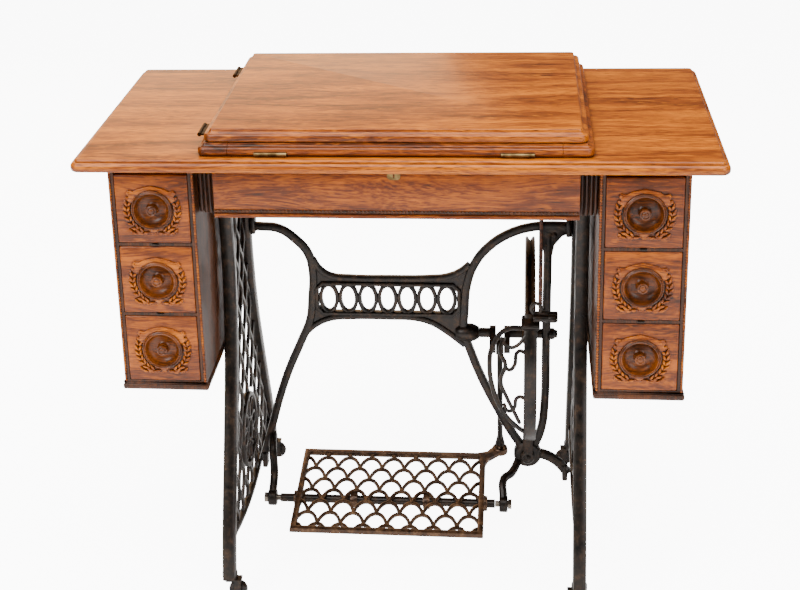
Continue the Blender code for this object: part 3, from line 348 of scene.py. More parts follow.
def moulded_board(low, high, corner, band, upward, downward):
    """Board built out both ways from its widest outline, a band between two heights, in moulded steps."""
    shape = bmesh.new()
    ends = ((low[0], low[1]), (high[0], low[1]), (high[0], high[1]), (low[0], high[1]))
    shape.faces.new([shape.verts.new((x, y, band[0])) for x, y in ends])
    bmesh.ops.bevel(
        shape, geom=shape.verts[:], offset=corner, segments=6, profile=0.5, affect="VERTICES", material=-1
    )
    lower = shape.faces[:][0]
    raised = bmesh.ops.extrude_face_region(shape, geom=[lower], use_keep_orig=True)["geom"]
    upper = [item for item in raised if isinstance(item, bmesh.types.BMFace)][0]
    bmesh.ops.translate(shape, verts=upper.verts[:], vec=(0, 0, band[1] - band[0]))
    bmesh.ops.recalc_face_normals(shape, faces=shape.faces[:])
    for face, steps in ((upper, upward), (lower, downward)):
        for inset, rise in steps:
            bmesh.ops.inset_region(shape, faces=[face], thickness=inset, depth=rise, use_even_offset=True)
    return shape


def stand_in(shape):
    """An object that holds the shape while modifiers work on it."""
    mesh = bpy.data.meshes.new("stand_in")
    shape.to_mesh(mesh)
    shape.free()
    obj = bpy.data.objects.new("stand_in", mesh)
    bpy.context.scene.collection.objects.link(obj)
    return obj


def evaluated(obj, *helpers):
    """The mesh that an object's modifiers or curve settings make, and the object and its helpers gone."""
    bpy.context.view_layer.update()
    mesh = bpy.data.meshes.new_from_object(obj.evaluated_get(bpy.context.evaluated_depsgraph_get()))
    shape = bmesh.new()
    shape.from_mesh(mesh)
    bpy.data.meshes.remove(mesh)
    for done in (obj, *helpers):
        bpy.data.objects.remove(done, do_unlink=True)
    return shape


def cut(shape, cutters, operation="DIFFERENCE"):
    """The shape with the cutters taken out of it, or only what it shares with them."""
    body = stand_in(shape)
    helpers = [stand_in(cutter) for cutter in cutters]
    for helper in helpers:
        step = body.modifiers.new("cut", "BOOLEAN")
        step.operation = operation
        step.solver = "EXACT"
        step.object = helper
    return evaluated(body, *helpers)


def path_curve(paths, closed, flat, smooth):
    """Curve through each path's points, drawn in a plane or in space."""
    curve = bpy.data.curves.new("path", "CURVE")
    curve.dimensions = "2D" if flat else "3D"
    curve.fill_mode = "NONE" if flat else "FULL"
    curve.use_fill_caps = not closed
    curve.resolution_u = 5
    for path in paths:
        points = [(*point, 0) if flat else tuple(point) for point in path]
        spline = curve.splines.new("BEZIER")
        spline.bezier_points.add(len(points) - 1)
        for knot, point in zip(spline.bezier_points, points):
            knot.co = point
            knot.handle_left_type = knot.handle_right_type = "AUTO" if smooth else "VECTOR"
        spline.use_cyclic_u = closed
    return curve


def as_object(curve):
    """The curve as an object in the scene."""
    obj = bpy.data.objects.new(curve.name, curve)
    bpy.context.scene.collection.objects.link(obj)
    return obj


def bars(paths, wide, thick, soft, place=Matrix(), closed=False, smooth=True, radii=None):
    """Bars along curves drawn in a plane: wide in the plane, thick across it, with rounded corners."""
    outline = bpy.data.curves.new("section", "CURVE")
    outline.dimensions = "2D"
    outline.fill_mode = "NONE"
    a, b = wide / 2, thick / 2
    half = [(a, b - soft), (a - 0.3 * soft, b - 0.3 * soft), (a - soft, b)]
    half += [(-x, y) for x, y in half[::-1]]
    corners = half + [(-x, -y) for x, y in half]
    spline = outline.splines.new("POLY")
    spline.points.add(len(corners) - 1)
    for knot, (x, y) in zip(spline.points, corners):
        knot.co = (x, y, 0, 1)
    spline.use_cyclic_u = True
    section = as_object(outline)
    curve = path_curve(paths, closed, True, smooth)
    curve.bevel_mode = "OBJECT"
    curve.bevel_object = section
    for spline in curve.splines:
        for i, radius in enumerate(radii or ()):
            spline.bezier_points[i].radius = radius
    shape = evaluated(as_object(curve), section)
    bmesh.ops.recalc_face_normals(shape, faces=shape.faces[:])
    return moved(shape, place)


def tube(points, radius, closed=False, place=Matrix()):
    """Round bar along a curve in space."""
    curve = path_curve([points], closed, False, True)
    curve.bevel_depth = radius
    curve.bevel_resolution = 3
    shape = evaluated(as_object(curve))
    bmesh.ops.recalc_face_normals(shape, faces=shape.faces[:])
    return moved(shape, place)


def ring_points(radius_x, radius_y, centre=(0, 0), count=12, start=0.0, end=math.tau, ends=False):
    """Points round an ellipse, or along part of it with both ends."""
    steps = count - 1 if ends else count
    angles = [start + (end - start) * i / steps for i in range(count)]
    return [(centre[0] + radius_x * math.cos(a), centre[1] + radius_y * math.sin(a)) for a in angles]


def ball(centre, radius):
    """Small carved boss."""
    shape = bmesh.new()
    place = Matrix.Translation(centre)
    bmesh.ops.create_uvsphere(shape, u_segments=16, v_segments=10, radius=radius, matrix=place)
    return shape


def finish_piece(name, shape, material, body, replaced=(), crease=35):
    """Makes the shape a piece that rides on a body, shaded smooth but for its sharp edges."""
    mesh = bpy.data.meshes.new(name)
    shape.to_mesh(mesh)
    shape.free()
    mesh.materials.append(material)
    mesh.shade_smooth()
    mesh.set_sharp_from_angle(angle=math.radians(crease))
    obj = bpy.data.objects.new(name, mesh)
    bpy.context.scene.collection.objects.link(obj)
    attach(obj, body)
    if replaced:
        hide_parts(*replaced)
    return obj


def repaint(node, material):
    """Gives a CAD node that stays its finish."""
    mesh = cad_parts[node].data
    mesh.materials.clear()
    mesh.materials.append(material)


# Cabinet top, tier, flap and leaf

TOP_LOW, TOP_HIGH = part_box("table_top")
TIER_LOW, TIER_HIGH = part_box("bed_frame")
LEAF_LOW, LEAF_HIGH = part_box("folding_leaf")
FLAP_LOW, FLAP_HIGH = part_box("front_flap")
CASE_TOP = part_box("left_drawer_case")[1].z
TOP_UNDER = CASE_TOP + 0.3 * MM
PLAY = 0.6 * MM
WELL = ((-0.212, FLAP_HIGH.y + PLAY), (0.218, 0.165))
BELT_Y = (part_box("belt")[0].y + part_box("belt")[1].y) / 2


def well_cutter():
    """The well that the head folds down into, from under the top to above the tier."""
    (left, front), (right, back) = WELL
    return block((left, front, TOP_UNDER - 0.02), (right, back, LEAF_LOW.z + 0.02))


def make_table_top():
    """Slab with a thick half-round lip, a quirk above it and a small round to the top face."""
    edge = quarter(5 * MM, 6.2 * MM, 5) + [(1.6 * MM, 0), (0.1 * MM, 1.1 * MM)] + quarter(3.2 * MM, 3.2 * MM)
    slab = moulded_board(
        TOP_LOW, TOP_HIGH, 13 * MM, (TOP_UNDER + 5.5 * MM, TOP_UNDER + 7.5 * MM), edge,
        quarter(4.5 * MM, 5.5 * MM, 5)
    )
    slab = cut(slab, [well_cutter()])
    peg_low = TOP_LOW.z + 3.5 * MM
    peg_x = 0.2225
    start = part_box("belt")[0].x - 0.5 * MM
    peg = tube(
        [(start, BELT_Y, peg_low), (peg_x - 5 * MM, BELT_Y, peg_low), (peg_x, BELT_Y, peg_low + 5 * MM),
         (peg_x, BELT_Y, TOP_UNDER + MM)], 3.5 * MM,
    )
    finish_piece("moulded_table_top", together(slab, peg), OAK_ACROSS_LIT, "stand", ["table_top"])


def tier_board():
    """Board with a round, a quirk and a cove up to its top face."""
    edge = quarter(3.5 * MM, 4.5 * MM) + [(1.2 * MM, 0), (0.1 * MM, 0.8 * MM)] + cove(3 * MM, 3.2 * MM)
    edge += quarter(1.2 * MM, 1.2 * MM, 2)
    return moulded_board(
        TIER_LOW, TIER_HIGH, 11 * MM, (TIER_LOW.z + 4.5 * MM, TIER_LOW.z + 8 * MM), edge,
        quarter(3 * MM, 4.5 * MM)
    )


def hinge_beds(low, high):
    """Shallow recesses for the leaf's two hinges."""
    made = []
    for end in ("front", "back"):
        near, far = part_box(f"leaf_hinge_{end}_fixed")
        made.append(
            block((near.x - 0.01, near.y - PLAY / 2, low), (far.x + PLAY / 2, far.y + PLAY / 2, high))
        )
    return made


def make_tier():
    """Raised tier round the well, with the front flap let into it."""
    reach = 0.02
    notch = block(
        (FLAP_LOW.x - PLAY, TIER_LOW.y - reach, TIER_LOW.z - reach),
        (FLAP_HIGH.x + PLAY, FLAP_HIGH.y + PLAY, TIER_HIGH.z + reach),
    )
    plates = hinge_beds(TIER_HIGH.z - 1.5 * MM, TIER_HIGH.z + reach)
    tier = cut(tier_board(), [notch, well_cutter(), *plates])
    finish_piece("moulded_tier", tier, OAK_FRONT_SHADED, "stand", ["bed_frame"])
    room = block(
        (FLAP_LOW.x, TIER_LOW.y - reach, TIER_LOW.z - reach), (FLAP_HIGH.x, FLAP_HIGH.y, TIER_HIGH.z + reach)
    )
    flap = cut(tier_board(), [room], "INTERSECT")
    grooves = []
    for _, name in SIDES:
        near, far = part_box(f"flap_hinge_{name}")
        middle = (near + far) / 2
        place = Matrix.Translation(middle) @ ACROSS
        radius = (far.z - near.z) / 2 + PLAY
        half = (far.x - near.x) / 2 + PLAY / 2
        grooves.append(turned([(0, -half), (radius, -half), (radius, half), (0, half)], place, 16))
    finish_piece("moulded_flap", cut(flap, grooves), OAK_FRONT_SHADED, "flap", ["front_flap"])


def make_leaf():
    """Folding leaf with an ogee edge."""
    edge = quarter(3 * MM, 3.6 * MM) + cove(5.5 * MM, 5 * MM) + quarter(1.6 * MM, 1.6 * MM, 3)
    leaf = moulded_board(
        LEAF_LOW, LEAF_HIGH, 13 * MM, (LEAF_LOW.z + 3.5 * MM, LEAF_HIGH.z - 10.2 * MM), edge,
        quarter(2.2 * MM, 3.5 * MM),
    )
    leaf = cut(leaf, hinge_beds(LEAF_LOW.z - 0.02, LEAF_LOW.z + 1.5 * MM))
    finish_piece("ogee_leaf", leaf, OAK_ACROSS_LIT, "leaf", ["folding_leaf"])


# Apron and skirt


def rope(start, length, radius):
    """Twisted three-strand rope moulding along X."""
    strands, pitch = 3, 5.2 * MM * 3
    step = 1.3 * MM
    shape = bmesh.new()
    outline = []
    for i in range(12):
        angle = math.tau * i / 12
        reach = radius * (0.86 + 0.14 * math.cos(strands * angle))
        outline.append(shape.verts.new((0, reach * math.cos(angle), reach * math.sin(angle))))
    edges = [shape.edges.new((outline[i], outline[i - 1])) for i in range(12)]
    turn = Matrix.Translation((step, 0, 0)) @ Matrix.Rotation(math.tau * step / pitch, 4, "X")
    for _ in range(int(length / step)):
        raised = bmesh.ops.extrude_edge_only(shape, edges=edges)["geom"]
        edges = [item for item in raised if isinstance(item, bmesh.types.BMEdge)]
        bmesh.ops.transform(
            shape, matrix=turn, verts=[v for v in raised if isinstance(v, bmesh.types.BMVert)]
        )
    bmesh.ops.holes_fill(shape, edges=shape.edges[:])
    bmesh.ops.recalc_face_normals(shape, faces=shape.faces[:])
    return moved(shape, Matrix.Translation(start))


def make_apron():
    """Plain board between two rope mouldings, with a lip under the lower one."""
    low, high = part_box("apron_panel")
    board = block(low, high, 1.2 * MM)
    lip = block((low.x, low.y - 2.5 * MM, low.z), (high.x, low.y + MM, low.z + 6 * MM), 1.2 * MM)
    finish_piece("apron_board", together(board, lip), OAK_FRONT_SHADED, "till", ["apron_panel"])
    radius = 2.5 * MM
    for name, z in (("upper", high.z - 4 * MM), ("lower", low.z + 9.5 * MM)):
        moulding = rope((low.x + MM, low.y - 0.2 * MM, z), high.x - low.x - 2 * MM, radius)
        finish_piece(f"apron_rope_{name}", moulding, OAK_TALL_SHADED, "till", crease=60)


def make_skirt_reeds():
    """Half-round reeds down the two ends of the skirt that show beside the apron."""
    low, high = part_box("front_skirt")
    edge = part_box("apron_panel")[1].x
    count, radius = 4, 3.1 * MM
    reeds = []
    for side, _ in SIDES:
        for i in range(count):
            x = side * (edge + (i + 0.5) * (high.x - edge) / count)
            foot = low.z + (1 - math.sin(math.acos(max(0, (i - 1.2) / count)))) * 14 * MM + 3 * MM
            place = Matrix.Translation((x, low.y, 0))
            profile = [
                (0, foot - 3 * MM), (0.7 * radius, foot - 2 * MM), (radius, foot), (radius, high.z - MM)
            ]
            reeds.append(turned([*profile, (0, high.z - MM)], place, 10))
    finish_piece("skirt_reeds", together(*reeds), OAK_TALL_SHADED, "stand")
    repaint("front_skirt", OAK_TALL_SHADED)


# Drawer cases and drawers


def bead_string(x, y, low, high, radius=2.0 * MM, pitch=4.2 * MM):
    """Row of touching beads, turned as one, drawn a little coarser than the real 3.2 mm ones."""
    profile = [(0, low)]
    for i in range(int((high - low) / pitch)):
        start = low + i * pitch
        for part, share in ((0.02, 0.3), (0.2, 0.8), (0.5, 1.0), (0.8, 0.8), (0.98, 0.3)):
            profile.append((radius * share, start + part * pitch))
    profile.append((0, high))
    return turned(profile, Matrix.Translation((x, y, 0)), 8)


def make_case(name):
    """Case open at the front, on a moulded foot, with bead strings at its corners and drawer catches."""
    low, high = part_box(f"{name}_drawer_case")
    overhang, base = 3 * MM, 11.5 * MM
    wall = (low + Vector((overhang, overhang, base)), high - Vector((overhang, overhang, 0)))
    cells = []
    for row in (1, 2, 3):
        front_low, front_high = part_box(f"drawer_front_{name}_{row}")
        roof = high.z - 2 * MM if row == 1 else front_high.z + 0.7 * MM
        cells.append(block(
            front_low - Vector((0.7 * MM, 0.02, 0.7 * MM)),
            (front_high.x + 0.7 * MM, wall[1].y - 8 * MM, roof)
        ))
    case = cut(block(*wall, 0.8 * MM), cells)
    foot = moulded_board(
        low, high, 3 * MM, (low.z + 4 * MM, low.z + 6 * MM),
        quarter(2 * MM, 2.5 * MM) + cove(1.5 * MM, 3 * MM),
        quarter(2.5 * MM, 4 * MM),
    )
    finish_piece(
        f"{name}_case_walls", together(case, foot), OAK_TALL_SHADED, "stand",
        [f"{name}_drawer_case"]
    )
    beads = [
        bead_string(x, wall[0].y - 0.3 * MM, low.z + base + MM, high.z - MM)
        for x in (wall[0].x + 2.2 * MM, wall[1].x - 2.2 * MM)
    ]
    finish_piece(f"{name}_case_beads", together(*beads), OAK_CARVED_LIT, "stand", crease=80)
    for row in (1, 2):
        middle = sum(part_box(f"drawer_front_{name}_{row}"), Vector()) / 2
        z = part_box(f"drawer_front_{name}_{row}")[0].z - 2.2 * MM
        notch = block(
            (middle.x - 5 * MM, low.y + 0.5 * MM, z - 1.8 * MM),
            (middle.x + 5 * MM, low.y + 5 * MM, z + MM), 0.8 * MM
        )
        finish_piece(f"{name}_drawer_catch_{row}", notch, IRON, "stand")


def leaf_shape(length, width, height):
    """Carved leaf: pointed at both ends, with a ridge down its middle."""
    steps = 6
    profile = [
        (width / 2 * math.sin(math.pi * i / steps) ** 1.2, length * (i / steps - 0.5))
        for i in range(steps + 1)
    ]
    shape = turned(profile, Matrix(), 6)
    return moved(shape, Matrix.Diagonal((1, 2 * height / width, 1, 1)))


def carving():
    """Laurel wreath and crested plaque round a drawer's pull, raised from a plane that faces the front."""
    crest = [
        (-30, 10), (-36, 15), (-33, 20), (-36.5, 25), (-33, 29), (-26, 27.5), (-20, 31), (-11, 33.5),
        (0, 36)
    ]
    crest += [(-x, y) for x, y in crest[-2::-1]]
    inner = ring_points(27, 27, count=9, start=math.radians(22), end=math.radians(158), ends=True)
    plaque = plate(in_mm(crest + inner), 3.2 * MM, 1.1 * MM, UPRIGHT)
    parts = [plaque]
    for side in (-1, 1):
        mirror = Matrix.Diagonal((side, 1, 1, 1))
        parts.append(ball((side * 35.5 * MM, -1.5 * MM, 17 * MM), 2.6 * MM))
        parts.append(ball((side * 33 * MM, -2.6 * MM, 25.5 * MM), 2.2 * MM))
        for i in range(7):
            angle = math.radians(16 - 12.5 * i)
            for reach, lean in ((34.0, -24), (39.5, 32)):
                spot = Vector((reach * math.cos(angle), -0.6, reach * math.sin(angle) - 1)) * MM
                turn = Matrix.Rotation(math.radians(lean) - angle, 4, "Y")
                leaf = leaf_shape(13 * MM, 5.6 * MM, 3.4 * MM)
                parts.append(moved(leaf, mirror @ Matrix.Translation(spot) @ turn))
        for x, z, lean, long in (
            (28, -36, 66, 14), (19, -37, 84, 15), (23, -32.5, 52, 13), (11, -36, 100, 12), (33, -33, 44, 10),
        ):
            turn = Matrix.Rotation(math.radians(lean), 4, "Y")
            leaf = leaf_shape(long * MM, 6.0 * MM, 3.8 * MM)
            parts.append(moved(leaf, mirror @ Matrix.Translation(Vector((x, -0.6, z)) * MM) @ turn))
    vase = [(0, -39), (3, -38.4), (4.5, -36.6), (3.4, -35), (6.5, -32.5), (8.6, -29), (7.4, -27.5), (0, -27)]
    place = Matrix.Diagonal((1, 0.42, 1, 1))
    parts.append(turned(in_mm(vase), place, 16))
    return together(*parts)


def pull_profile():
    """Bowl sunk in the drawer's front, with two fine beads round its rim and a turned knob in its middle."""
    points = [
        (0, -7.8), (13, -7.8), (20, -6.5), (24, -3), (26, -0.8), (30, 0), (30, 3.5), (29.4, 5.2), (28.4, 5.9),
        (27.6, 5.2), (27.1, 5.4), (26.3, 6.4), (25.4, 6.2), (24.6, 4.6), (23.8, 1), (22, -2), (18.5, -4.8),
        (13.5, -6.2), (9.6, -6.2), (7.6, -4.8), (6.6, -2), (6.4, 1.2), (7.4, 4.2), (7.9, 6), (7.5, 7.6),
        (6.4, 8.2),
        (5.4, 7.6), (4.7, 7.4), (4.1, 8.2), (2.6, 9.2), (0, 9.5),
    ]
    return in_mm(points)


BOWL_ROOM = [(0, -8.2), (14, -8.2), (21, -7), (25, -3.5), (27, 0), (27, 5), (0, 5)]


def make_drawer(name, row, wreath):
    """Drawer front with its bowl, carving and turned pull, and the plain box behind it."""
    label = f"{name}_{row}"
    body = f"drawer_{label}"
    low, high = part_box(f"drawer_front_{label}")
    pull_low, pull_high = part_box(f"drawer_pull_{label}")
    centre = (pull_low + pull_high) / 2
    face = Matrix.Translation((centre.x, low.y, centre.z))
    room = turned(in_mm(BOWL_ROOM), face @ UPRIGHT, 32)
    front = cut(block(low, high, 2.2 * MM, 3), [room])
    finish_piece(f"drawer_board_{label}", front, OAK_FRONT_SHADED, body, [f"drawer_front_{label}"])
    finish_piece(f"drawer_wreath_{label}", copied(wreath, face), OAK_CARVED_LIT, body, crease=50)
    place = Matrix.Translation((centre.x, pull_high.y, centre.z)) @ UPRIGHT
    knob = turned(pull_profile(), place, 48)
    finish_piece(f"turned_pull_{label}", knob, OAK_PULL_SHADED, body, [f"drawer_pull_{label}"])
    repaint(f"drawer_box_{label}", PLAIN_WOOD)


# Iron stand

# Side frame's outer edge: (share of its height, distance from the middle), as the casting has it
LEG_EDGE = (
    (0.00, 0.232), (0.06, 0.222), (0.13, 0.206), (0.22, 0.180), (0.34, 0.146), (0.46, 0.115),
    (0.58, 0.095), (0.70, 0.087), (0.82, 0.092), (0.92, 0.108), (1.00, 0.130),
)
LEG_WIDE = 22 * MM
FRAME_LOW, FRAME_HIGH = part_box("right_side_frame")
FRAME_TALL = FRAME_HIGH.z - FRAME_LOW.z
LATTICE_PITCH = 46 * MM
LATTICE_PERIOD = 84 * MM


def leg_half(z):
    """Distance from the middle of a side frame to its outer edge at a height."""
    share = (z - FRAME_LOW.z) / FRAME_TALL
    for (a, wide), (b, narrow) in zip(LEG_EDGE, LEG_EDGE[1:]):
        if share <= b:
            return wide + (narrow - wide) * (share - a) / (b - a)
    return LEG_EDGE[-1][1]


def arch_z(y):
    """Height of the frame's hanging lower edge between the feet."""
    return 0.062 + 0.022 * (abs(y) / 0.170) ** 1.8


def wave(line, pitch, period, start, end, phase=0.0):
    """One wavy line of an ogee lattice, which touches its mirrored neighbours at each swing."""
    steps = max(2, round((end - start) / period * 8))
    swing = pitch / 4 * (-1) ** line
    made = []
    for i in range(steps + 1):
        along = start + (end - start) * i / steps
        made.append((line * pitch / 2 + swing * math.cos(math.tau * (along - phase) / period), along))
    return made


def runs_inside(points, inside):
    """Stretches of a line whose points are inside a region."""
    runs = [[]]
    for point in points:
        if inside(*point):
            runs[-1].append(point)
        elif runs[-1]:
            runs.append([])
    return [run for run in runs if len(run) > 1]


def make_side_frame(side, name):
    """Two flared legs, a top bar and a hanging arch, with an ogee lattice and a round medallion between."""
    middle = side * (FRAME_LOW.x + FRAME_HIGH.x) / 2
    place = Matrix.Translation((middle, 0, 0)) @ EDGEWISE
    thick = FRAME_HIGH.x - FRAME_LOW.x
    medallion = FRAME_LOW.z + 0.21 * FRAME_TALL
    inner = LEG_WIDE / 2
    leg = [(half - inner, FRAME_LOW.z + share * FRAME_TALL) for share, half in LEG_EDGE]
    legs = [leg, [(-y, z) for y, z in leg]]
    parts = [bars(legs, LEG_WIDE, thick, 4.5 * MM, place)]
    reach = LEG_EDGE[-1][1] - 4 * MM
    parts.append(
        bars(
            [[(-reach, FRAME_HIGH.z - 9 * MM), (reach, FRAME_HIGH.z - 9 * MM)]], 18 * MM, thick, 3 * MM,
            place
        )
    )
    arch = [(y * MM, arch_z(y * MM)) for y in range(-170, 171, 34)]
    arch = [(-0.202, 0.070), (-0.190, 0.081), *arch, (0.190, 0.081), (0.202, 0.070)]
    parts.append(bars([arch], 9 * MM, 12 * MM, 3.5 * MM, place))

    def inside(y, z):
        clear = math.hypot(y, z - medallion) > 57 * MM
        return clear and abs(y) < leg_half(z) - LEG_WIDE + 3 * MM and z > arch_z(y)

    paths = []
    for line in range(-9, 10):
        points = wave(line, LATTICE_PITCH, LATTICE_PERIOD, 0.05, FRAME_HIGH.z - 14 * MM)
        paths += runs_inside(points, inside)
    parts.append(bars(paths, 7 * MM, 5.5 * MM, 2 * MM, place))
    parts.append(bars([ring_points(58 * MM, 58 * MM, (0, medallion))], 8 * MM, 12 * MM, 3 * MM, place, True))
    parts.append(
        bars([ring_points(17 * MM, 17 * MM, (0, medallion))], 6 * MM, 11 * MM, 2.5 * MM, place, True)
    )
    petals = []
    for i in range(8):
        turn = Matrix.Rotation(math.tau * i / 8, 2)
        centre = turn @ Vector((37 * MM, 0))
        petal = [turn @ Vector(point) for point in ring_points(17 * MM, 11 * MM, count=8)]
        petals.append([tuple(centre + point + Vector((0, medallion))) for point in petal])
    parts.append(bars(petals, 5 * MM, 8 * MM, 2 * MM, place, True))
    for end in (-1, 1):
        y = end * (LEG_EDGE[0][1] - 15 * MM)
        socket = [(0, 0), (11, 0), (12, 2), (12, 10), (9, 16), (0, 18)]
        spot = Matrix.Translation((middle, y, FRAME_LOW.z))
        parts.append(turned(in_mm(socket), spot, 20))
    finish_piece(
        f"{name}_frame_casting", together(*parts), IRON, "stand", [f"{name}_side_frame"]
    )


WHEEL_LOW, WHEEL_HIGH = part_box("band_wheel")
AXLE = (WHEEL_LOW + WHEEL_HIGH) / 2
BRACE_PLACE = Matrix.Translation((0, AXLE.y, 0)) @ UPRIGHT
REACH = FRAME_LOW.x - 0.3 * MM
BOSS = (0.093, AXLE.z)
LUG = (0.191, 0.105)
PIVOT = Vector((0, -0.005, 0.050))
PIVOT_LEFT, PIVOT_RIGHT = -0.2315, 0.152


def dome(x, z, y, radius, height):
    """Round bolt head on the brace's front."""
    profile = [
        (0, 0), (radius, 0), (0.92 * radius, 0.45 * height), (0.6 * radius, 0.85 * height), (0, height)
    ]
    return turned(profile, Matrix.Translation((x, y, z)) @ UPRIGHT, 24)


def make_brace():
    """Cross brace: a window of plain ovals, two long S-shaped arms each side, an upright, bosses and lugs."""
    thick = 15 * MM
    left = [(-REACH, 0.508), (-0.240, 0.508), (-0.211, 0.5045), (-0.185, 0.4865), (-0.1655, 0.4625)]
    left += [
        (-0.1585, 0.430), (-0.161, 0.385), (-0.166, 0.345), (-0.183, 0.303), (-0.205, 0.252),
        (-0.223, 0.200)
    ]
    left += [(-0.240, 0.140), (-REACH, 0.080)]
    right = [
        (REACH, 0.512), (0.226, 0.5135), (0.190, 0.510), (0.155, 0.497), (0.126, 0.4755),
        (0.1045, 0.447)
    ]
    right += [
        (0.092, 0.410), (0.088, 0.365), (0.087, 0.329), (0.0995, 0.285), (0.1185, 0.236),
        (0.1405, 0.190)
    ]
    right += [(0.166, 0.142), LUG]
    upper = [
        (-0.158, 0.452), (-0.147, 0.434), (-0.129, 0.4225), (-0.100, 0.4195), (-0.034, 0.419),
        (0.035, 0.4205)
    ]
    upper += [(0.060, 0.4235), (0.080, 0.432), (0.096, 0.445)]
    lower = [
        (-0.176, 0.318), (-0.158, 0.335), (-0.132, 0.3475), (-0.098, 0.3510), (-0.034, 0.3515),
        (0.008, 0.350)
    ]
    lower += [(0.034, 0.3425), (0.058, 0.3275), (0.088, 0.303)]
    foot = [LUG, (0.214, 0.104), (0.238, 0.092), (REACH, 0.070)]
    upright = [
        (0.221, 0.504), (0.220, 0.400), (0.2195, 0.300), (0.2185, 0.200), (0.213, 0.150), (0.199, 0.112)
    ]
    parts = [
        bars([left, right, upright], 13.6 * MM, thick - MM, 4 * MM, BRACE_PLACE),
        bars([upper, lower], 10 * MM, thick - 2 * MM, 3 * MM, BRACE_PLACE),
        bars([foot], 15 * MM, thick, 4 * MM, BRACE_PLACE),
    ]
    web = [(-0.161, 0.448), (-0.147, 0.433), (-0.128, 0.422), (0.050, 0.423), (0.080, 0.435), (0.094, 0.448)]
    web += [(0.090, 0.350), (0.086, 0.304), (0.058, 0.326), (0.034, 0.341), (0.008, 0.349), (-0.100, 0.349)]
    web += [(-0.132, 0.345), (-0.155, 0.333), (-0.168, 0.322), (-0.160, 0.380)]
    chamfer, window = 10 * MM, ((-0.1535, 0.3570), (0.0790, 0.4100))
    (x0, z0), (x1, z1) = window
    octagon = [
        (x0 + chamfer, z0), (x1 - chamfer, z0), (x1, z0 + chamfer), (x1, z1 - chamfer), (x1 - chamfer, z1),
        (x0 + chamfer, z1), (x0, z1 - chamfer), (x0, z0 + chamfer),
    ]
    half = Matrix.Translation((0, 3 * MM, 0))
    opening = plate(octagon, 0.04, 0, Matrix.Translation((0, 0.02, 0)) @ BRACE_PLACE)
    parts.append(cut(plate(web, 6 * MM, 0, half @ BRACE_PLACE), [opening]))
    parts.append(bars([octagon], 6.5 * MM, thick, 2 * MM, BRACE_PLACE, True, False))
    ovals = []
    count = 7
    pitch = (x1 - x0 - 8 * MM) / count
    for i in range(count):
        centre = (x0 + 4 * MM + (i + 0.5) * pitch, (z0 + z1) / 2)
        ovals.append(ring_points(pitch / 2 - 2.6 * MM, (z1 - z0) / 2 - 3 * MM, centre, 12))
    parts.append(bars(ovals, 6 * MM, 11 * MM, 2.2 * MM, BRACE_PLACE, True))
    gusset = [(0.206, 0.508), (REACH, 0.518), (REACH, 0.503), (0.243, 0.497), (0.231, 0.482), (0.227, 0.462)]
    gusset += [(0.215, 0.462)]
    parts.append(plate(gusset, 12 * MM, 2 * MM, Matrix.Translation((0, 6 * MM, 0)) @ BRACE_PLACE))
    front = AXLE.y - thick / 2
    parts.append(dome(0.2305, 0.500, AXLE.y - 6 * MM, 4.5 * MM, 2.5 * MM))
    nut = [(0, -3), (8, -3), (9.5, -1.5), (9.5, 6), (7, 8), (6, 12), (0, 12.5)]
    parts.append(turned(
        in_mm(nut), Matrix.Translation((0.2255, AXLE.y, AXLE.z)) @ ACROSS, 20
    ))
    boss = [
        (0, -20), (9, -20), (12, -16), (14, -9), (15, 0), (15, 6), (13, 12), (10.5, 16), (10, 18),
        (0, 18)
    ]
    parts.append(turned(
        in_mm(boss), Matrix.Translation((BOSS[0], AXLE.y, BOSS[1])) @ ACROSS, 24
    ))
    lug = [(0, -9), (19, -9), (22.5, -6.5), (22.5, 7), (20, 9.6), (8, 10.8), (0, 11)]
    parts.append(turned(
        in_mm(lug), Matrix.Translation((LUG[0], AXLE.y, LUG[1])) @ UPRIGHT, 32
    ))
    for side, height in ((-1, 0.511), (1, 0.511), (-1, 0.082), (1, 0.072)):
        ends = sorted((side * (REACH - 9 * MM), side * REACH))
        parts.append(block(
            (ends[0], front - 3 * MM, height - 14 * MM),
            (ends[1], front + thick + 3 * MM, height + 14 * MM), 2.5 * MM
        ))
    for x, start_x, start_z in (
        (PIVOT_LEFT, -0.238, 0.130), (PIVOT_RIGHT, LUG[0] - 13 * MM, LUG[1] - 10 * MM)
    ):
        parts.append(tube([
            (start_x, AXLE.y, start_z), ((x + start_x) / 2, AXLE.y - 30 * MM, start_z - 12 * MM),
            (x, PIVOT.y + 27 * MM, PIVOT.z + 30 * MM), (x, PIVOT.y + 2 * MM, PIVOT.z + 9 * MM),
        ], 6.8 * MM))
        ear = [(5.6, -7), (12, -7), (13.5, -5), (13.5, 5), (12, 7), (5.6, 7), (5.6, -7)]
        parts.append(turned(
            in_mm(ear), Matrix.Translation((x, PIVOT.y, PIVOT.z)) @ ACROSS, 28
        ))
    finish_piece("brace_casting", together(*parts), IRON, "stand", ["centre_brace"])


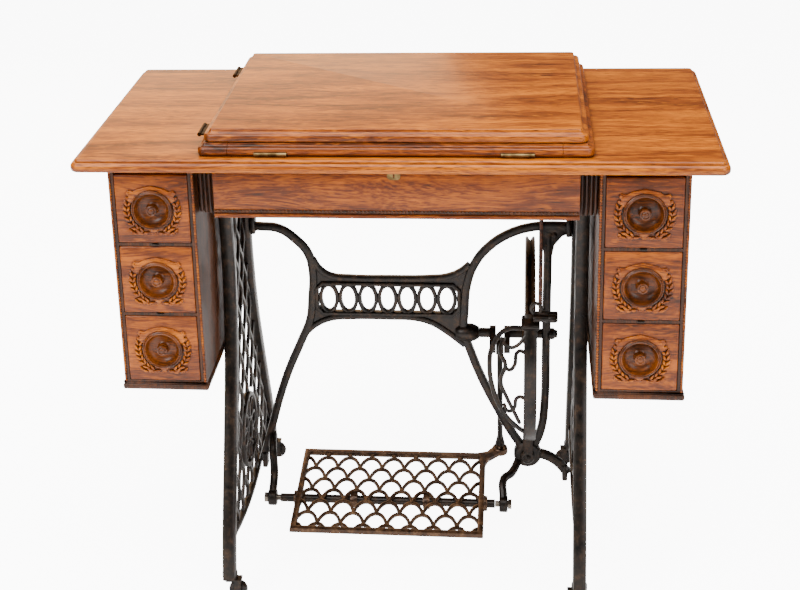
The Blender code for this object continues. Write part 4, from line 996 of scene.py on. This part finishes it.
def make_band_wheel():
    """Wheel with a V groove for the belt and five tapered oval spokes."""
    place = Matrix.Translation(AXLE) @ ACROSS
    radius = (WHEEL_HIGH.z - WHEEL_LOW.z) / 2 / MM
    rim = [
        (-15, -5.5), (-10.5, -7.6), (-2, -7.6), (0, -6.2), (0, -4.2), (-6.5, 0), (0, 4.2), (0, 6.2),
        (-2, 7.6),
        (-10.5, 7.6), (-15, 5.5), (-16.5, 0), (-15, -5.5),
    ]
    parts = [turned([((radius + r) * MM, x * MM) for r, x in rim], place, 72)]
    hub = [
        (8.6, -12), (15, -12), (18, -9), (22, -5), (23, 0), (22, 5), (18, 9), (15, 12), (8.6, 12),
        (8.6, -12)
    ]
    parts.append(turned(in_mm(hub), place, 32))
    spokes, inner, outer = 5, 20 * MM, (radius - 14) * MM
    for i in range(spokes):
        spoke = bmesh.new()
        bmesh.ops.create_cone(
            spoke, cap_ends=True, segments=16, radius1=10 * MM, radius2=6.5 * MM, depth=outer - inner,
            matrix=Matrix.Translation((0, 0, (inner + outer) / 2)),
        )
        moved(spoke, Matrix.Diagonal((0.55, 1, 1, 1)))
        turn = Matrix.Rotation(math.tau * (i / spokes) - math.pi / 2, 4, "X")
        parts.append(moved(spoke, Matrix.Translation(AXLE) @ turn))
    finish_piece("grooved_wheel", together(*parts), RUBBED_AND_LIT_IRON, "wheel", ["band_wheel"])


TREADLE_TILT = math.radians(7)
TREADLE_PLACE = Matrix.Translation(PIVOT) @ Matrix.Rotation(TREADLE_TILT, 4, "X")


def make_treadle():
    """Ogee lattice in a flat frame, with a tab at its back right corner that holds the pitman's cup."""
    left, right, front, back = -0.190, 0.121, -0.100, 0.115
    lift, thick, border = 7.8 * MM, 10 * MM, 10 * MM
    level = TREADLE_PLACE @ Matrix.Translation((0, 0, lift + thick / 2))
    edge = border / 2
    corners = [(left + edge, front + edge), (right - edge, front + edge), (right - edge, back - edge)]
    corners.append((left + edge, back - edge))
    parts = [bars([corners], border, thick, 3 * MM, level, True, False)]
    columns = 8
    pitch = (right - left - 2 * edge) / columns
    rows = 7
    step = (back - front - 2 * edge) / rows
    scallops = []
    arc = [(-0.5, -0.04), (-0.45, 0.3), (-0.34, 0.66), (-0.18, 0.92), (0, 1.0)]
    arc += [(-x, y) for x, y in arc[-2::-1]]

    def inside(x, y):
        return left + edge - MM < x < right - edge + MM and front + MM < y < back - edge + 2 * MM

    for row in range(rows + 1):
        base = front + edge + (row - 0.5) * step
        for column in range(columns + 1):
            middle = left + edge + (column + 0.5 * (row % 2)) * pitch
            scallops += runs_inside([(middle + x * pitch, base + y * step) for x, y in arc], inside)
    parts.append(bars(scallops, 5.4 * MM, 6.5 * MM, 2.2 * MM, level))
    arm, centre = 0.130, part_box("pitman_rod")
    tab_x = (centre[0].x + centre[1].x) / 2
    tab = [
        (right - 12 * MM, back - 12 * MM), (right - 2 * MM, back - 34 * MM),
        (right + 4 * MM, back - 16 * MM)
    ]
    tab += [(tab_x - 2 * MM, arm - 13 * MM)]
    tab += ring_points(13 * MM, 13 * MM, (tab_x, arm), 10, math.radians(-80), math.radians(150), True)
    tab += [(right + 2 * MM, back + 6 * MM), (right - 20 * MM, back - MM)]
    parts.append(plate(tab, 8 * MM, 2 * MM, level @ Matrix.Translation((0, 0, -4 * MM))))
    cup = [(5.5, 3), (12.5, 3), (12.5, 5.5), (11, 7), (9.5, 7.2), (8.6, 5), (5.5, 4.4), (5.5, 3)]
    spot = level @ Matrix.Translation((tab_x, arm, 0))
    parts.append(turned(in_mm(cup), spot, 28))
    parts.append(turned([(0, 0), (5 * MM, 0), (5 * MM, 6 * MM), (3 * MM, 8.5 * MM), (0, 9 * MM)], spot, 16))
    for x in (left + MM, right - MM, (left + right) / 2 - 0.06, (left + right) / 2 + 0.06):
        ear = [(0, -7), (12, -7), (13, 0), (12, 7), (0, 7)]
        parts.append(turned(
            [(max(r, 7.2) * MM, z * 0.8 * MM) for r, z in ear] + [(7.2 * MM, -5.6 * MM)],
            Matrix.Translation((x, PIVOT.y, PIVOT.z)) @ ACROSS, 20,
        ))
    finish_piece("treadle_casting", together(*parts), RUBBED_AND_LIT_IRON, "treadle", ["treadle"])


GUARD_RADIUS = (WHEEL_HIGH.z - WHEEL_LOW.z) / 2 + 8 * MM


def on_guard(x, degrees, reach=3 * MM):
    """Place on the guard, which is bent round the wheel. 0 degrees is level with the axle, at the front."""
    angle = math.radians(degrees)
    radius = GUARD_RADIUS + reach
    return (x, AXLE.y - radius * math.cos(angle), AXLE.z + radius * math.sin(angle))


def make_guard():
    """Band bent round the front of the wheel, with scrolled loops on its left, a foot and a top bracket."""
    left, right = AXLE.x - 10 * MM, AXLE.x + 10 * MM
    arc = [on_guard(0, degrees)[1:] for degrees in range(-85, 37, 8)]
    place = Matrix.Translation((AXLE.x, 0, 0)) @ EDGEWISE
    parts = [bars([arc], 6 * MM, 20 * MM, 2.4 * MM, place)]
    cap = on_guard(AXLE.x, 31)
    collar = Matrix.Translation(cap) @ Matrix.Rotation(math.radians(-59), 4, "X")
    parts.append(moved(block((-14 * MM, -5 * MM, -13 * MM), (14 * MM, 5 * MM, 11 * MM), 3 * MM, 3), collar))
    far = left - 52 * MM
    parts.append(tube([
        on_guard(left + 4 * MM, 28), on_guard(far + 24 * MM, 27), on_guard(far + 4 * MM, 18),
        on_guard(far, 8),
        on_guard(far + 6 * MM, -6), on_guard(far + 20 * MM, -20), on_guard(left - 14 * MM, -32),
        on_guard(left + 4 * MM, -42),
    ], 3.8 * MM))
    parts.append(tube([
        on_guard(far + 22 * MM, 23), on_guard(far + 16 * MM, 16), on_guard(far + 24 * MM, 9),
        on_guard(far + 17 * MM, 0), on_guard(far + 26 * MM, -10), on_guard(left - 16 * MM, -19),
        on_guard(left - 6 * MM, -30),
    ], 3.2 * MM))
    for top in (15, -11):
        parts.append(tube([
            on_guard(left + 4 * MM, top), on_guard(left - 8 * MM, top + 1), on_guard(left - 15 * MM, top - 7),
            on_guard(left - 23 * MM, top - 9), on_guard(left - 30 * MM, top - 4),
        ], 3 * MM))
    parts.append(tube([
        on_guard(left + 2 * MM, 24), on_guard(left - 10 * MM, 19), on_guard(left - 22 * MM, 18),
        on_guard(far + 16 * MM, 23),
    ], 3 * MM))
    low_z = on_guard(0, 31)[2]
    front = on_guard(0, 33)[1]
    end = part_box("dress_guard")[1].x
    parts.append(
        block((right - 4 * MM, front - 4 * MM, low_z), (end, front + 6 * MM, low_z + 16 * MM), 2.5 * MM)
    )
    face = AXLE.y - 11.3 * MM
    foot = [(0, 0), (12, 0), (12, 5), (10, 7), (5.5, 7.5), (5, 10), (3, 11.4), (0, 11.6)]
    parts.append(turned(
        in_mm(foot), Matrix.Translation((LUG[0], face, LUG[1])) @ UPRIGHT, 28
    ))
    shank = [
        (LUG[0], face - 3.5 * MM, LUG[1] + 4 * MM),
        (AXLE.x, face - 3.5 * MM, on_guard(0, -85)[2] + 2 * MM)
    ]
    parts.append(block(
        (shank[0][0] - 8 * MM, face - 7 * MM, LUG[1]), (shank[1][0] + 7 * MM, face - MM, shank[1][2]), 2 * MM
    ))
    finish_piece("guard_casting", together(*parts), IRON, "stand", ["dress_guard"])


def make_shifter():
    """Lever with an eye for the belt, a clamping barrel across it and its screw."""
    low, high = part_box("belt_shifter")
    eye = (AXLE.x + 8 * MM, high.z - 10 * MM)
    y = high.y
    plane = Matrix.Translation((0, y - 3 * MM, 0)) @ UPRIGHT
    axis = (high.x - 8 * MM, low.z + 8 * MM)
    lever = [(eye[0] - MM, eye[1] - 11 * MM), (axis[0] - 10 * MM, axis[1] + 4 * MM), axis]
    parts = [
        bars([ring_points(7.2 * MM, 8.6 * MM, eye, 10)], 5.2 * MM, 5 * MM, 1.6 * MM, plane, True),
        bars([lever], 10 * MM, 5.6 * MM, 2 * MM, plane),
    ]
    barrel = [(0, -24), (5, -24), (6, -22), (5.4, -18), (5.0, -2), (6.4, 0), (6.4, 9), (5, 11), (0, 11)]
    spot = Matrix.Translation((axis[0] - 3 * MM, y - 8 * MM, axis[1])) @ ACROSS
    parts.append(turned(in_mm(barrel), spot, 20))
    finish_piece("shifter_lever", together(*parts), IRON, "shifter", ["belt_shifter"])


def make_belt():
    """Round leather belt in a long loop that hangs on its peg."""
    low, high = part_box("belt")
    x = (low.x + high.x) / 2
    thick = (high.x - low.x) / 2
    radius = (high.y - low.y) / 2 - thick
    top, bottom = high.z - thick - radius, low.z + thick + radius
    points = ring_points(radius, radius, (BELT_Y, top), 7, 0, math.pi, True)
    points += ring_points(radius, radius, (BELT_Y, bottom), 7, math.pi, math.tau, True)
    loop = tube([(x, y, z) for y, z in points], thick, True)
    finish_piece("leather_belt", loop, LEATHER, "stand", ["belt"])


def make_caster(end, name):
    """Small solid wheel with a crowned tread."""
    label = f"{end}_{name}"
    low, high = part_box(f"caster_wheel_{label}")
    centre = (low + high) / 2
    radius = (high.z - low.z) / 2 / MM
    tread = [(2.3, -5.5), (6, -5.5), (7, -4), (radius - 3, -4), (radius - 1.2, -5), (radius, -2), (radius, 2)]
    tread += [(radius - 1.2, 5), (radius - 3, 4), (7, 4), (6, 5.5), (2.3, 5.5), (2.3, -5.5)]
    wheel = turned(in_mm(tread), Matrix.Translation(centre) @ UPRIGHT, 32)
    finish_piece(
        f"caster_tread_{label}", wheel, IRON, f"roller_{label}", [f"caster_wheel_{label}"]
    )
    repaint(f"caster_fork_{label}", IRON)


# Stowed head, made upright from its hinge and then turned down into the well

HEAD_HINGE = Vector((0, 0.152, 0.735))
STOWED = Matrix.Translation(HEAD_HINGE) @ UPRIGHT
HEAD_RISE = 9 * MM
HEAD_MIDDLE = -0.090
ARM_TOP = 0.215
NEEDLE_X, PRESSER_X = -0.153, -0.137


def bore(x, radius, low, high, steps):
    """Upright hole in the head, for a bar or the needle."""
    profile = [(0, low), (radius, low), (radius, high), (0, high)]
    return turned(profile, Matrix.Translation((x, HEAD_MIDDLE, 0)), steps)


def make_head():
    """Bed with a rounded edge, and one curved casting for the column, arm and nose."""
    bed = moulded_board(
        (-0.185, -0.178), (0.185, -0.5 * MM), 14 * MM, (HEAD_RISE - 10 * MM, HEAD_RISE - 3 * MM),
        quarter(2.5 * MM, 3 * MM), quarter(1.5 * MM, 2 * MM),
    )
    plane = Matrix.Translation((0, HEAD_MIDDLE, 0)) @ UPRIGHT
    spine = [
        (0.128, HEAD_RISE - 2 * MM), (0.128, 0.040), (0.127, 0.095), (0.119, 0.148), (0.088, 0.184),
        (0.035, 0.190),
        (-0.030, 0.185), (-0.100, 0.187), (-0.137, 0.187),
    ]
    radii = [1.25, 1.0, 0.92, 0.98, 1.0, 0.80, 0.78, 0.92, 0.95]
    arm = bars([spine], 52 * MM, 50 * MM, 16 * MM, plane, radii=radii)
    nose = block(
        (-0.171, HEAD_MIDDLE - 26 * MM, ARM_TOP - 0.124), (-0.119, HEAD_MIDDLE + 26 * MM, ARM_TOP - MM),
        8 * MM, 4
    )
    works = block(
        (-0.149, HEAD_MIDDLE - 29 * MM, HEAD_RISE - 41 * MM),
        (0.119, HEAD_MIDDLE + 19 * MM, HEAD_RISE - 11 * MM), 6 * MM
    )
    hub = [(0, 0.138), (0.022, 0.138), (0.022, 0.152), (0.017, 0.1578), (0, 0.158)]
    collar = turned(hub, Matrix.Translation((0, HEAD_MIDDLE, 0.185)) @ ACROSS, 28)
    low, high = ARM_TOP - 0.14, ARM_TOP - 0.075
    nose = cut(nose, [bore(x, 3.4 * MM, low, high, 16) for x in (NEEDLE_X, PRESSER_X)])
    bed = cut(bed, [bore(NEEDLE_X, 2.2 * MM, -0.02, 0.02, 12)])
    head = together(bed, arm, nose, works, collar)
    finish_piece("head_casting", moved(head, STOWED), ENAMEL, "head", ["machine_head"])
    plate_points = [(-0.176, -0.030), (-0.118, -0.030), (-0.118, 0.030), (-0.176, 0.030)]
    throat = plate(
        plate_points, 0.5 * MM, 0, Matrix.Translation((0, HEAD_MIDDLE, HEAD_RISE + 0.1 * MM))
    )
    throat = cut(throat, [bore(NEEDLE_X, 2.2 * MM, -0.02, 0.02, 12)])
    face = block(
        (-0.1735, HEAD_MIDDLE - 19 * MM, ARM_TOP - 0.112),
        (-0.1705, HEAD_MIDDLE + 19 * MM, ARM_TOP - 12 * MM), MM
    )
    discs = [(0, 0), (11, 0), (12, 1), (11, 2), (4, 2.6), (4, 8), (6, 8.5), (6, 12), (0, 12.5)]
    tension = turned(
        in_mm(discs), Matrix.Translation((-0.100, HEAD_MIDDLE - 19 * MM, 0.187)) @ UPRIGHT, 24
    )
    pin = turned(
        [(0, 0), (5 * MM, 0), (5 * MM, 2 * MM), (1.6 * MM, 3 * MM), (1.6 * MM, 24 * MM), (0, 25 * MM)],
        Matrix.Translation((0.080, HEAD_MIDDLE, 0.207)), 16,
    )
    trim = together(throat, face, tension, pin)
    finish_piece("head_trim", moved(trim, STOWED), STEEL, "head")


def make_hand_wheel():
    """Spoked hand wheel with a round rim and a belt groove beside it."""
    low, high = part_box("hand_wheel")
    centre = Vector((0, (low.y + high.y) / 2, (low.z + high.z) / 2))
    place = Matrix.Translation(centre) @ ACROSS
    radius = (high.z - low.z) / 2
    rim = ring_points(6.5 * MM, 8 * MM, (radius - 6.6 * MM, high.x - 8.1 * MM), 16)
    parts = [turned([*rim, rim[0]], place, 56)]
    x = low.x / MM
    hub = [
        (0, x), (20, x), (20, x + 6), (16, x + 10), (20, x + 14), (20, x + 22), (12, x + 28),
        (10, x + 38), (0, x + 39)
    ]
    parts.append(turned(in_mm(hub), place, 36))
    middle = Matrix.Translation(centre + Vector((high.x - 13 * MM, 0, 0)))
    for i in range(6):
        spoke = bmesh.new()
        length = radius - 12 * MM
        bmesh.ops.create_cone(
            spoke, cap_ends=True, segments=12, radius1=6 * MM, radius2=4.5 * MM, depth=length,
            matrix=Matrix.Translation((0, 0, length / 2 + 3 * MM)),
        )
        turn = middle @ Matrix.Rotation(math.tau * i / 6, 4, "X")
        parts.append(moved(spoke, turn @ Matrix.Diagonal((0.7, 1, 1, 1))))
    finish_piece("spoked_hand_wheel", together(*parts), STEEL, "hand_wheel", ["hand_wheel"])


# Stage


def make_floor():
    """Wide sheet of white paper."""
    shape = bmesh.new()
    bmesh.ops.create_grid(shape, x_segments=1, y_segments=1, size=12)
    mesh = bpy.data.meshes.new("floor")
    shape.to_mesh(mesh)
    shape.free()
    made, tree, shader = new_material(
        "pale_floor", Base_Color=linear("#FFFFFF"), Roughness=0.95, Emission_Color=linear("#FFFFFF"))
    # The paper is lit from below for the eye only, so that it does not light the iron from under it
    seen = add(tree, "LightPath", {})
    glow = add(tree, "MapRange", {"Value": seen.outputs["Is Camera Ray"], "To Min": 0.30, "To Max": 9.0})
    tree.links.new(glow.outputs[0], shader.inputs["Emission Strength"])
    mesh.materials.append(made)
    floor = bpy.data.objects.new("floor", mesh)
    bpy.context.scene.collection.objects.link(floor)


def make_light(name, place, aim, width, height, power, colour="#FFFFFF"):
    """Soft box at a place, turned to its aim, with its power in watts."""
    lamp = bpy.data.lights.new(name, "AREA")
    lamp.shape = "RECTANGLE"
    lamp.size = width
    lamp.size_y = height
    lamp.energy = power
    lamp.color = linear(colour)[:3]
    obj = bpy.data.objects.new(name, lamp)
    obj.location = place
    obj.rotation_euler = (Vector(aim) - Vector(place)).to_track_quat("-Z", "Y").to_euler()
    bpy.context.scene.collection.objects.link(obj)


def make_stage():
    """White paper under a broad ceiling light, two front lights and a low warm window behind the top."""
    make_floor()
    world = bpy.data.worlds.new("studio")
    world.use_nodes = True
    back = world.node_tree.nodes["Background"]
    back.inputs["Color"].default_value = linear("#FFFFFF")
    back.inputs["Strength"].default_value = 0.16
    bpy.context.scene.world = world
    make_light("ceiling", (0, -0.4, 3.4), (0, 0, 0), 4.5, 3.5, 290)
    make_light("key", (-2.4, -2.8, 2.6), (0, 0, 0.4), 1.8, 1.8, 115)
    make_light("fill", (2.4, -2.8, 1.6), (0, 0, 0.4), 2.0, 2.0, 60)
    make_light("window", (-1.1, 3.0, 1.75), (-1.1, 0, 1.75), 2.2, 1.9, 34, "#FFD2A0")


def make_camera():
    """Camera a little above the top, turned slightly to the left."""
    yaw, pitch, roll = math.radians(7.36), math.radians(19.75), math.radians(2.18)
    turn = Matrix.Rotation(yaw, 3, "Z") @ Matrix.Rotation(-pitch, 3, "X") @ Matrix.Rotation(roll, 3, "Y")
    right, forward, up = turn.col
    data = bpy.data.cameras.new("camera")
    data.sensor_width = 36
    data.lens = 71.06
    data.shift_x = 0.0944
    data.shift_y = -0.145
    camera = bpy.data.objects.new("camera", data)
    stand = Matrix.Translation((0.170, -2.282, 1.441))
    camera.matrix_world = stand @ Matrix((right, up, -forward)).transposed().to_4x4()
    bpy.context.scene.collection.objects.link(camera)
    bpy.context.scene.camera = camera


make_table_top()
make_tier()
make_leaf()
make_apron()
make_skirt_reeds()
wreath = carving()
for side, name in SIDES:
    make_case(name)
    make_side_frame(side, name)
    for row in (1, 2, 3):
        make_drawer(name, row, wreath)
    for end in ("front", "back"):
        make_caster(end, name)
wreath.free()
make_brace()
make_band_wheel()
make_treadle()
make_guard()
make_shifter()
make_belt()
make_head()
make_hand_wheel()
for node in ("pitman_rod", "crank_left", "crank_right", "treadle_cross_bar"):
    repaint(node, IRON)
for node in ("cone_screw_left", "cone_screw_right", "needle_bar", "presser_bar"):
    repaint(node, STEEL)
for node in ("flap_hinge_left", "flap_hinge_right", "lock_escutcheon"):
    repaint(node, BRASS)
for end in ("front", "back"):
    repaint(f"leaf_hinge_{end}_fixed", HINGE_STEEL_SHADED)
    repaint(f"leaf_hinge_{end}_moving", HINGE_STEEL_SHADED)
repaint("till_tray", PLAIN_WOOD)
make_stage()
make_camera()
